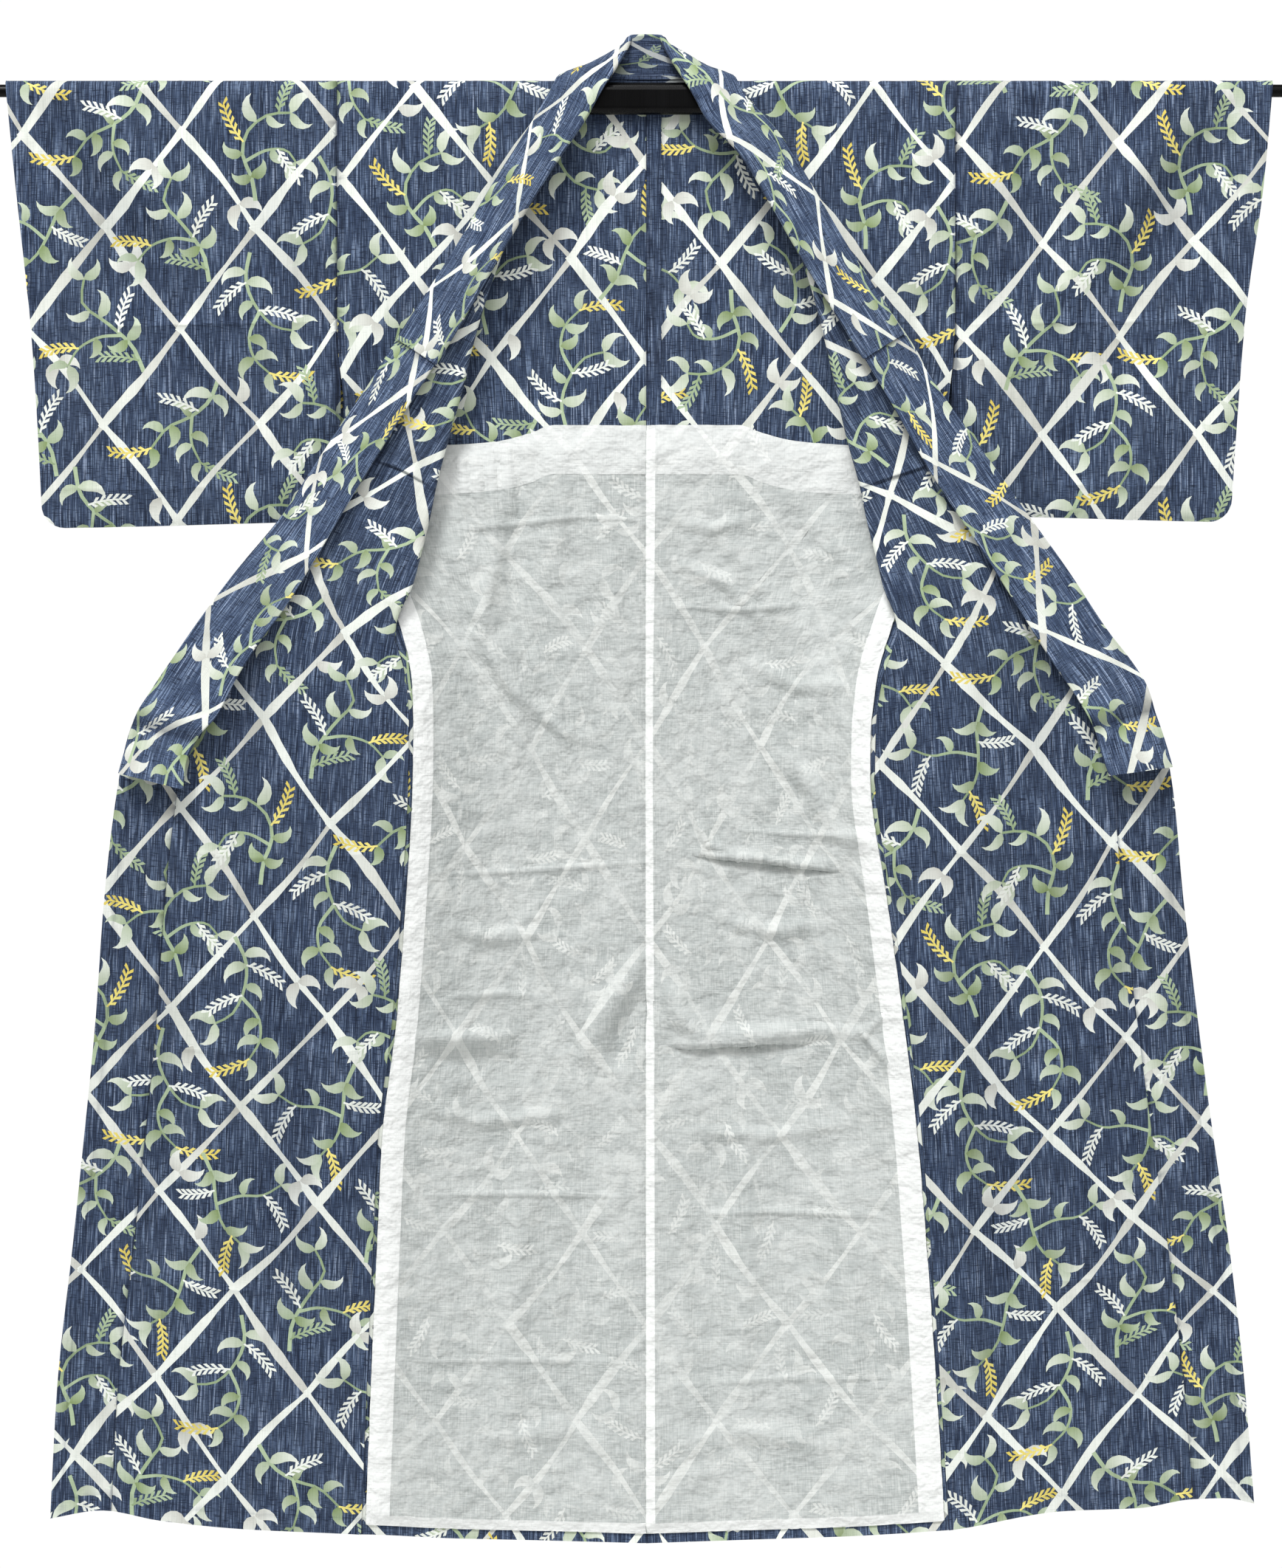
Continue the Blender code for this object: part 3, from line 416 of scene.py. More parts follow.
def fern(x, y, angle, long, bend, kind):
    """A small frond: a rib with plump, separate leaflets on both sides and one at its end."""
    c = {"white": (WHITE, WHITE), "green": (GREEN, PALE), "yellow": (YELLOW, OCHRE)}[kind]
    pairs = 6
    t = np.linspace(0, 1, 2 * pairs + 1)
    a = angle + bend * t
    step = long / (2 * pairs)
    line = np.stack(
        [x + np.concatenate([[0], np.cumsum(np.cos(a[:-1]) * step)]), y + np.concatenate([[0], np.cumsum(np.sin(a[:-1]) * step)])],
        axis=1,
    )
    shapes = [(ribbon(line[::3], np.linspace(0.0021, 0.0015, 5)), c[0], c[1], line[0], line[-1])]
    for i in range(2, 2 * pairs + 1, 2):
        size = 0.0090 * (0.74 + 0.32 * math.sin(math.pi * i / (2 * pairs + 3)))
        for s in (-1, 1):
            k = i if s > 0 else i - 1
            b = a[k] + s * 0.86
            e = np.array([math.cos(b), math.sin(b)])
            f = np.array([-math.sin(b), math.cos(b)]) * s
            p = line[k]
            ring = [p - f * 0.0008, p + e * size * 0.58 - f * 0.0021, p + e * size - f * 0.0024, p + e * size * 0.78 + f * 0.0008, p + f * 0.0009]
            shapes.append((np.array(ring), c[0], c[1], line[0], line[-1]))
    return shapes


# Sprays, drawn in their own small frame with the diamond's middle at (0, 0), x across and y down.
# stem: points, then the width at its foot. Each leaf and frond sits at a share of one stem's length.
SPRAYS = [
    {
        "stems": [([(-0.034, 0.056), (-0.026, 0.026), (-0.004, -0.002), (0.018, -0.026), (0.012, -0.052)], 0.0042),
                  ([(-0.018, 0.014), (0.006, 0.012), (0.030, 0.020), (0.044, 0.036)], 0.0034)],
        "leaves": "stem at turn long wide bend tint\n0 .30 -1.1 .026 .013 .9 .3\n0 .34 1.2 .024 .012 -.9 .0\n0 .62 -1.0 .027 .013 .9 .6\n0 .66 .9 .022 .011 -1.0 .8\n0 .98 -.5 .024 .012 .8 .4\n0 .99 .8 .022 .011 -.9 .9\n1 .45 1.0 .022 .011 -.8 .2\n1 .98 .5 .026 .013 -.9 .7\n1 .97 -.8 .022 .010 .8 .3",
        "ferns": [(0, 0.45, -0.9, 0.036, -0.5, "white"), (1, 0.72, -0.9, 0.032, 0.5, "yellow"), (0, 0.12, 0.9, 0.034, 0.4, "green")],
    },
    {
        "stems": [([(0.004, 0.074), (-0.002, 0.050), (-0.014, 0.026), (-0.010, 0.000), (0.010, -0.018), (0.034, -0.022)], 0.0042),
                  ([(-0.012, 0.034), (0.010, 0.020), (0.032, 0.018), (0.044, 0.030)], 0.0034)],
        "leaves": "stem at turn long wide bend tint\n0 .20 1.0 .024 .013 -.8 .0\n0 .24 -1.2 .022 .012 .9 .1\n0 .42 -1.0 .024 .012 1.0 .2\n0 .74 -1.2 .026 .013 .9 .8\n0 .80 .9 .020 .010 -.8 .5\n0 .98 -.7 .026 .013 .9 .9\n0 .99 .6 .024 .011 -1.0 .6\n1 .50 .9 .020 .010 -.8 .3\n1 .98 -.4 .024 .011 .9 .9\n1 .97 .9 .022 .010 -.9 .5",
        "ferns": [(0, 0.52, -0.95, 0.038, 0.5, "yellow"), (1, 0.60, 1.1, 0.032, -0.4, "white"), (0, 0.90, -1.3, 0.032, 0.4, "green")],
    },
    {
        "stems": [([(-0.044, -0.046), (-0.030, -0.022), (-0.024, 0.004), (-0.014, 0.030), (0.006, 0.048)], 0.0040),
                  ([(-0.022, 0.008), (0.000, -0.004), (0.024, -0.008), (0.042, -0.022)], 0.0034)],
        "leaves": "stem at turn long wide bend tint\n0 .18 -1.1 .026 .012 -.9 .4\n0 .22 1.1 .024 .012 .9 .2\n0 .55 1.2 .026 .013 .9 .0\n0 .76 -1.0 .024 .012 -.9 .2\n0 .98 .7 .026 .012 .8 .6\n0 .99 -.6 .022 .011 -.8 .9\n1 .40 -1.0 .022 .010 .9 .3\n1 .96 .5 .026 .012 -.9 .9\n1 .98 -.7 .024 .012 .9 .7",
        "ferns": [(1, 0.70, 1.1, 0.034, 0.5, "white"), (0, 0.86, 1.2, 0.034, -0.5, "yellow"), (0, 0.36, 1.3, 0.030, 0.4, "white")],
    },
    {
        "stems": [([(0.040, -0.050), (0.030, -0.024), (0.010, -0.006), (-0.014, 0.006), (-0.030, 0.028)], 0.0042),
                  ([(0.012, -0.008), (0.012, 0.020), (0.022, 0.042)], 0.0034)],
        "leaves": "stem at turn long wide bend tint\n0 .20 1.0 .026 .013 -.8 .9\n0 .22 -1.1 .024 .012 .9 .5\n0 .50 1.2 .022 .011 -.9 .2\n0 .74 -1.0 .025 .013 .8 .1\n0 .80 1.0 .022 .011 -.9 .3\n0 .99 -.5 .024 .012 .9 .0\n1 .45 -1.0 .022 .011 .9 .2\n1 .55 1.0 .022 .011 -.9 .6\n1 .98 .6 .020 .010 -.9 .4",
        "ferns": [(0, 0.98, 0.6, 0.036, 0.6, "yellow"), (1, 0.98, -0.5, 0.032, -0.4, "green"), (0, 0.36, 1.2, 0.034, -0.4, "white")],
    },
    {
        "stems": [([(-0.002, -0.078), (0.006, -0.050), (0.000, -0.022), (-0.016, 0.002), (-0.036, 0.010)], 0.0038),
                  ([(-0.004, -0.014), (0.010, 0.010), (0.008, 0.034), (-0.006, 0.052)], 0.0036)],
        "leaves": "stem at turn long wide bend tint\n0 .22 -1.1 .024 .012 .9 .9\n0 .26 1.1 .026 .013 -.8 .7\n0 .52 -1.1 .022 .011 .8 .3\n0 .97 .6 .026 .013 -.9 .6\n0 .99 -.6 .024 .012 .9 .8\n1 .40 1.0 .024 .012 -.9 .1\n1 .66 -1.1 .026 .013 .9 .2\n1 .70 1.0 .024 .012 -.8 .4\n1 .98 -.5 .022 .011 .8 .5",
        "ferns": [(0, 0.60, 1.0, 0.034, -0.5, "white"), (1, 0.98, 0.4, 0.036, 0.5, "yellow"), (0, 0.30, -1.2, 0.034, 0.5, "white")],
    },
]


def spray(number, flip):
    """One spray's shapes, as (ring, colour at foot, colour at tip, foot, tip)."""
    plan = SPRAYS[number]
    stems, shapes = [], []
    for points, width in plan["stems"]:
        line = curve_through(points, 11)
        stems.append(line)
        shapes.append((ribbon(line, np.linspace(width * 1.10, width * 0.58, 11)), PALE, GREEN, line[0], line[-1]))
    rows = plan["leaves"].split("\n")
    names = rows[0].split()
    for row in rows[1:]:
        g = dict(zip(names, map(float, row.split())))
        line = stems[int(g["stem"])]
        k = min(len(line) - 1, int(round(g["at"] * (len(line) - 1))))
        d = directions(line)[k]
        angle = math.atan2(d[1], d[0]) + g["turn"]
        tint = g["tint"]
        c0 = tuple(a + (b - a) * tint * 0.62 for a, b in zip(MOSS if tint < 0.25 else GREEN, CREAM))
        c1 = tuple(a + (b - a) * min(1.0, tint * 0.9 + 0.16) for a, b in zip(PALE, WHITE))
        shapes += leaf(*line[k], angle * 1.0, g["long"] * (1.16 + 0.34 * (tint - 0.4)), g["wide"] * 1.12, g["bend"] * 1.25, c0, c1)
    for stem, at, turn, long, bend, kind in plan["ferns"]:
        line = stems[stem]
        k = min(len(line) - 1, int(round(at * (len(line) - 1))))
        d = directions(line)[k]
        shapes += fern(*line[k], math.atan2(d[1], d[0]) + turn, long * 1.20, bend, kind)
    if flip:
        m = np.array([-1.0, 1.0])
        shapes = [(r[::-1] * m, c0, c1, a * m, b * m) for r, c0, c1, a, b in shapes]
    return shapes


SPRAY_BOOK = {(n, f): spray(n, f) for n in range(len(SPRAYS)) for f in (False, True)}


def crossing(i, j, seed):
    x = (i + j) / 2 * CELL_A + (dice(i, j, seed, 1) - 0.5) * 0.008
    y = (i - j) / 2 * CELL_B + (dice(i, j, seed, 2) - 0.5) * 0.008
    return np.array([x, y])


def brush_line(i, j, family, seed):
    """One side of a diamond, as a brushed stroke, with now and then a thorn-like pair of leaves."""
    a = crossing(i, j, seed)
    b = crossing(i + 1, j, seed) if family == 0 else crossing(i, j + 1, seed)
    k = [dice(i, j, family, seed, n) for n in range(3, 12)]
    mid = (a + b) / 2
    d = (b - a) / np.hypot(*(b - a))
    n = np.array([-d[1], d[0]])
    mid = mid + n * (k[0] - 0.5) * 0.010
    line = curve_through([a - d * 0.004, mid, b + d * 0.004], 9)
    t = np.linspace(0, 1, 9)
    wide = 0.0080 + 0.0036 * (k[1] - 0.5)
    widths = wide * (0.62 + 0.58 * np.sin(math.pi * (t * (0.7 + 0.6 * k[2]) + 0.4 * k[3])) ** 2) * (1 + 0.10 * np.sin(t * 23 + 9 * k[1]))
    shapes = [(ribbon(line, widths), WHITE, SHELL if k[4] > 0.5 else WHITE, line[0], line[-1])]
    if k[5] < 0.46:
        at = 2 + int(k[6] * 4.99)
        p = line[at]
        back = -1 if k[7] > 0.5 else 1
        angle = math.atan2(d[1], d[0]) + (0 if back > 0 else math.pi)
        foot = p + n * 0.001
        shapes += leaf(*foot, angle + 0.75, 0.030, 0.016, -0.9, SHELL, WHITE)
        if k[8] > 0.35:
            shapes += leaf(*p, angle - 0.70, 0.027, 0.015, 0.9, SHELL, WHITE)
    return shapes


def print_shapes(lo, hi, origin, seed, vines=True):
    """Every shape of the print that may show between two corners, in print coordinates."""
    shapes = []
    s0, t0 = origin
    lo, hi = np.array(lo) - (s0, t0), np.array(hi) - (s0, t0)
    reach = int(max(abs(lo).max(), abs(hi).max()) / min(CELL_A, CELL_B) * 2) + 3
    shift = np.array([s0, t0])
    for i in range(-reach, reach):
        for j in range(-reach, reach):
            c = np.array([(i + j + 1) / 2 * CELL_A, (i - j) / 2 * CELL_B])
            if (c < lo - 0.13).any() or (c > hi + 0.13).any():
                continue
            found = brush_line(i, j, 0, seed) + brush_line(i, j, 1, seed)
            if vines:
                pick = (3 * i + 5 * j + int(dice(i, j, seed, 20) * 2)) % len(SPRAYS)
                turn = (dice(i, j, seed, 21) - 0.5) * 0.5
                rot = np.array([[math.cos(turn), -math.sin(turn)], [math.sin(turn), math.cos(turn)]])
                for ring, c0, c1, a, b in SPRAY_BOOK[pick, dice(i, j, seed, 22) > 0.5]:
                    found.append((ring @ rot.T + c, c0, c1, rot @ a + c, rot @ b + c))
            for ring, c0, c1, a, b in found:
                if (ring.max(0) >= lo).all() and (ring.min(0) <= hi).all():
                    shapes.append((ring + shift, c0, c1, a + shift, b + shift))
    return shapes


# ---- cutting ----
def inside(ring, points):
    """Whether each point lies inside a ring."""
    order = np.argsort(points[:, 1], kind="stable")
    x, y = points[order, 0], points[order, 1]
    hit = np.zeros(len(points), bool)
    ring = np.asarray(ring, float)
    for a, b in zip(ring, np.roll(ring, -1, axis=0)):
        i, j = np.searchsorted(y, sorted((a[1], b[1])))
        if j > i:
            hit[i:j] ^= x[i:j] < (b[0] - a[0]) * (y[i:j] - a[1]) / (b[1] - a[1]) + a[0]
    out = np.empty(len(points), bool)
    out[order] = hit
    return out


def inside_small(ring, points):
    a, b = ring, np.roll(ring, -1, axis=0)
    x, y = points[:, :1], points[:, 1:]
    cross = (a[:, 1] > y) != (b[:, 1] > y)
    rise = np.where(a[:, 1] == b[:, 1], 1e-12, b[:, 1] - a[:, 1])
    at = (b[:, 0] - a[:, 0]) * (y - a[:, 1]) / rise + a[:, 0]
    return (cross & (x < at)).sum(axis=1) % 2 == 1


def top_shape(centre, shapes, start, stop, rows):
    """The last of some shapes that holds each listed triangle's middle, or -1."""
    centre = centre[rows]
    found = np.full(len(rows), -1)
    order = np.argsort(centre[:, 1], kind="stable")
    cy = centre[order, 1]
    for k in range(start, stop):
        ring = shapes[k][0]
        lo, hi = ring.min(0), ring.max(0)
        a, b = np.searchsorted(cy, [lo[1], hi[1]])
        ids = order[a:b]
        ids = ids[(centre[ids, 0] >= lo[0]) & (centre[ids, 0] <= hi[0])]
        if len(ids):
            found[ids[inside_small(ring, centre[ids])]] = k
    return found


def cut(outline, lines, inner, shapes):
    """A flat piece with the print cut into it. Returns points, triangles, and each one's shape."""
    outline = np.array([tuple(p) for p in outline], float)
    lo, hi = outline.min(0), outline.max(0)
    stacks, edges, start = [outline], [], len(outline)
    edges += [(i, (i + 1) % start) for i in range(start)]
    for line in lines:
        line = np.array([tuple(p) for p in line], float)
        stacks.append(line)
        edges += [(i, i + 1) for i in range(start, start + len(line) - 1)]
        start += len(line)
    if len(inner):
        stacks.append(np.array([tuple(p) for p in inner], float))
        start += len(inner)
    for shape in shapes:
        ring = shape[0]
        if (ring.max(0) < lo).any() or (ring.min(0) > hi).any():
            continue
        stacks.append(ring)
        n = len(ring)
        edges += [(start + i, start + (i + 1) % n) for i in range(n)]
        start += n
    verts = [Vector(p) for p in np.concatenate(stacks).tolist()]
    got = geometry.delaunay_2d_cdt(verts, edges, [], 0, 2e-6, False)
    points = np.array([(p.x, p.y) for p in got[0]])
    tris = np.array([f for f in got[2] if len(f) == 3])
    centre = points[tris].mean(axis=1)
    a, b, c = (points[tris[:, k]] for k in range(3))
    area = ((b[:, 0] - a[:, 0]) * (c[:, 1] - a[:, 1]) - (b[:, 1] - a[:, 1]) * (c[:, 0] - a[:, 0])) / 2
    keep = inside(outline, centre) & (np.abs(area) > 1e-13)
    tris = tris[keep]
    tris[area[keep] < 0] = tris[area[keep] < 0][:, ::-1]
    used = np.unique(tris)
    number = np.full(len(points), -1)
    number[used] = np.arange(len(used))
    points, tris = points[used], number[tris]
    return points, tris, top_shape(points[tris].mean(axis=1), shapes, 0, len(shapes), np.arange(len(tris)))


def dye_of(points, tris, top, shapes):
    """Each corner's dye: colour, and 1 where there is print."""
    dye = np.zeros((len(tris), 3, 4), np.float32)
    for k in np.unique(top[top >= 0]):
        ring, c0, c1, a, b = shapes[k]
        rows = np.nonzero(top == k)[0]
        axis = b - a
        t = np.clip(((points[tris[rows]] - a) @ axis) / max(1e-12, axis @ axis), 0, 1)[..., None]
        dye[rows, :, :3] = np.array(c0) * (1 - t) + np.array(c1) * t
        dye[rows, :, 3] = 1.0
    return dye


# ---- two-faced cloth ----
def smooth_normals(points, tris):
    a, b, c = (points[tris[:, k]] for k in range(3))
    n = np.cross(b - a, c - a)
    out = np.zeros_like(points)
    for k in range(3):
        np.add.at(out, tris[:, k], n)
    return out / np.maximum(1e-12, np.linalg.norm(out, axis=1))[:, None]


def shell(name, points, tris, uv, dye, over, under, doubling_and_shade_values=None, normals=None):
    """A closed thin shell round a sheet: over and under are how far its faces lie to each side."""
    n = smooth_normals(points, tris) if normals is None else normals
    count = len(points)
    over = np.broadcast_to(over, (count,))
    under = np.broadcast_to(under, (count,))
    coords = np.vstack([points + n * over[:, None], points - n * under[:, None]])
    e = np.sort(np.concatenate([tris[:, [0, 1]], tris[:, [1, 2]], tris[:, [2, 0]]]), axis=1)
    directed = np.concatenate([tris[:, [0, 1]], tris[:, [1, 2]], tris[:, [2, 0]]])
    corner = np.concatenate([np.stack([np.arange(len(tris)), np.full(len(tris), k)], axis=1) for k in range(3)])
    key = e[:, 0].astype(np.int64) * count + e[:, 1]
    _, first, times = np.unique(key, return_index=True, return_counts=True)
    rim = first[times == 1]
    a, b = directed[rim, 0], directed[rim, 1]
    rim_tris = np.concatenate([np.stack([b, a, a + count], axis=1), np.stack([b, a + count, b + count], axis=1)])
    faces = np.concatenate([tris, tris[:, ::-1] + count, rim_tris])
    where = corner[rim]
    src = [tris.reshape(-1), tris[:, ::-1].reshape(-1), np.concatenate([np.stack([b, a, a], axis=1), np.stack([b, a, b], axis=1)]).reshape(-1)]
    loop_uv = uv[np.concatenate(src)]
    rim_dye = dye[where[:, 0], where[:, 1]]
    loop_dye = np.concatenate([dye.reshape(-1, 4), dye[:, ::-1].reshape(-1, 4), np.repeat(np.concatenate([rim_dye, rim_dye]), 3, axis=0)])
    volume = np.einsum("ij,ij->", coords[faces[:, 0]], np.cross(coords[faces[:, 1]], coords[faces[:, 2]]))
    if volume < 0:
        order = np.arange(len(faces) * 3).reshape(-1, 3)[:, ::-1].reshape(-1)
        faces = faces[:, ::-1]
        loop_uv, loop_dye = loop_uv[order], loop_dye[order]
    mesh = bpy.data.meshes.new(name)
    mesh.vertices.add(len(coords))
    mesh.vertices.foreach_set("co", coords.astype(np.float32).ravel())
    mesh.loops.add(len(faces) * 3)
    mesh.loops.foreach_set("vertex_index", faces.astype(np.int32).ravel())
    mesh.polygons.add(len(faces))
    mesh.polygons.foreach_set("loop_start", np.arange(0, len(faces) * 3, 3, dtype=np.int32))
    mesh.update(calc_edges=True)
    layer = mesh.uv_layers.new(name="cloth")
    layer.data.foreach_set("uv", loop_uv.astype(np.float32).ravel())
    colour = mesh.color_attributes.new("dye", "FLOAT_COLOR", "CORNER")
    colour.data.foreach_set("color", loop_dye.astype(np.float32).ravel())
    # Per-point values: painted shade on the printed cloth; on the lining, whiter two-fold cloth plus painted shade
    # along its seam.
    if doubling_and_shade_values is not None:
        doubling_and_shade_layer = mesh.attributes.new("doubling_and_painted_shade", "FLOAT", "POINT")
        doubling_and_shade_layer.data.foreach_set("value", np.concatenate([doubling_and_shade_values, doubling_and_shade_values]).astype(np.float32))
    mesh.shade_smooth()
    ends = np.empty(len(mesh.edges) * 2, np.int32)
    mesh.edges.foreach_get("vertices", ends)
    ends = np.sort(ends.reshape(-1, 2), axis=1)
    lo, hi = np.minimum(a, b), np.maximum(a, b)
    sharp_keys = np.concatenate([lo.astype(np.int64) * 2 * count + hi, (lo + count).astype(np.int64) * 2 * count + hi + count])
    sharp = np.isin(ends[:, 0].astype(np.int64) * 2 * count + ends[:, 1], sharp_keys)
    flags = mesh.attributes.get("sharp_edge") or mesh.attributes.new("sharp_edge", "BOOLEAN", "EDGE")
    flags.data.foreach_set("value", sharp)
    top_n = smooth_normals(coords[:count], tris)
    low_n = smooth_normals(coords[count:], tris[:, ::-1])
    if volume < 0:
        top_n, low_n = -top_n, -low_n
    skin = np.vstack([top_n, low_n])
    loops = skin[faces.reshape(-1)]
    edge_faces = faces[2 * len(tris) :]
    cross = np.cross(coords[edge_faces[:, 1]] - coords[edge_faces[:, 0]], coords[edge_faces[:, 2]] - coords[edge_faces[:, 0]])
    cross /= np.maximum(1e-12, np.linalg.norm(cross, axis=1))[:, None]
    loops[6 * len(tris) :] = np.repeat(cross, 3, axis=0)
    mesh.normals_split_custom_set(loops.astype(np.float32).tolist())
    obj = bpy.data.objects.new(name, mesh)
    bpy.context.scene.collection.objects.link(obj)
    return obj


# ---- folds, placed in the front view ----
def near_line(line, x, z):
    """Distance to a line of points, which side of it, and the share of its length."""
    p = np.stack([x, z], axis=1)
    best = np.full(len(p), 1e9)
    side = np.zeros(len(p))
    share = np.zeros(len(p))
    line = np.asarray(line, float)
    lengths = np.hypot(*np.diff(line, axis=0).T)
    whole, done = lengths.sum(), 0.0
    for a, b, length in zip(line[:-1], line[1:], lengths):
        d = b - a
        t = np.clip(((p - a) @ d) / (d @ d), 0, 1)
        q = a + t[:, None] * d
        r = np.hypot(*(p - q).T)
        cross = d[0] * (p[:, 1] - a[1]) - d[1] * (p[:, 0] - a[0])
        nearer = r < best
        best = np.where(nearer, r, best)
        side = np.where(nearer, np.sign(cross), side)
        share = np.where(nearer, (done + t * length) / whole, share)
        done += length
    return best, side, share


def fold_depth(folds, x, z):
    """How far the cloth stands towards the front, summed over the folds."""
    out = np.zeros(len(x))
    for kind, height, width, points in folds:
        lx, lz = px_xz([p[0] for p in points], [p[1] for p in points])
        line = np.stack([lx, lz], axis=1)
        r, side, share = near_line(line, x, z)
        fade = np.sin(math.pi * np.clip(share, 0.0, 1.0)) ** 0.7 if kind[0] != "=" else np.ones(len(x))
        k = r / width
        if kind[-4:] == "soft":
            out += height * fade * np.exp(-k * k)
        elif kind[-4:] == "step":
            out += height * fade * np.where(side > 0, np.exp(-((k / 2.6) ** 2)), -0.25 * np.exp(-((k / 1.5) ** 2)))
        else:  # a pressed crease: a sharp ridge
            out += height * fade * np.exp(-k)
    return out


def crease_lines(folds, back):
    """Lines to cut along so that the narrow folds keep their shape. back turns (x, z) into (u, v)."""
    lines = []
    for kind, height, width, points in folds:
        if width > 0.008:
            continue
        lx, lz = px_xz([p[0] for p in points], [p[1] for p in points])
        line = curve_through(np.stack([lx, lz], axis=1), max(8, int(np.hypot(lx[-1] - lx[0], lz[-1] - lz[0]) / 0.007)))
        d = directions(line)
        n = np.stack([-d[:, 1], d[:, 0]], axis=1)
        for off in (-2.6, -1.3, -0.5, 0.0, 0.5, 1.3, 2.6):
            lines.append(back(line + n * width * off))
    return lines


# ---- materials ----
def ramp(tree, source, stops):
    node = tree.nodes.new("ShaderNodeValToRGB")
    elements = node.color_ramp.elements
    while len(elements) < len(stops):
        elements.new(0.5)
    for element, (at, colour) in zip(elements, stops):
        element.position = at
        element.color = colour if len(colour) == 4 else (*colour, 1)
    tree.links.new(source, node.inputs["Fac"])
    return node.outputs["Color"]


def mixed(tree, factor, a, b, mode="MIX"):
    node = tree.nodes.new("ShaderNodeMix")
    node.data_type = "RGBA"
    node.blend_type = mode
    for socket, value in ((node.inputs[0], factor), (node.inputs[6], a), (node.inputs[7], b)):
        if isinstance(value, (int, float)):
            socket.default_value = value
        elif isinstance(value, tuple):
            socket.default_value = value if len(value) == 4 else (*value, 1)
        else:
            tree.links.new(value, socket)
    return node.outputs[2]


def math_node(tree, op, a, b=0.5, clamp=False):
    node = tree.nodes.new("ShaderNodeMath")
    node.operation = op
    node.use_clamp = clamp
    for socket, value in ((node.inputs[0], a), (node.inputs[1], b)):
        if isinstance(value, (int, float)):
            socket.default_value = value
        else:
            tree.links.new(value, socket)
    return node.outputs[0]


def stretched_noise(tree, uv, scale, detail=2.0, rough=0.5, shift=(0, 0, 0)):
    mapping = tree.nodes.new("ShaderNodeMapping")
    mapping.inputs["Scale"].default_value = (*scale, 1)
    mapping.inputs["Location"].default_value = shift
    tree.links.new(uv, mapping.inputs["Vector"])
    noise = tree.nodes.new("ShaderNodeTexNoise")
    noise.inputs["Scale"].default_value = 1.0
    noise.inputs["Detail"].default_value = detail
    noise.inputs["Roughness"].default_value = rough
    tree.links.new(mapping.outputs[0], noise.inputs["Vector"])
    return noise.outputs[0]


def new_material(name):
    made = bpy.data.materials.new(name)
    made.use_nodes = True
    return made, made.node_tree, made.node_tree.nodes["Principled BSDF"]


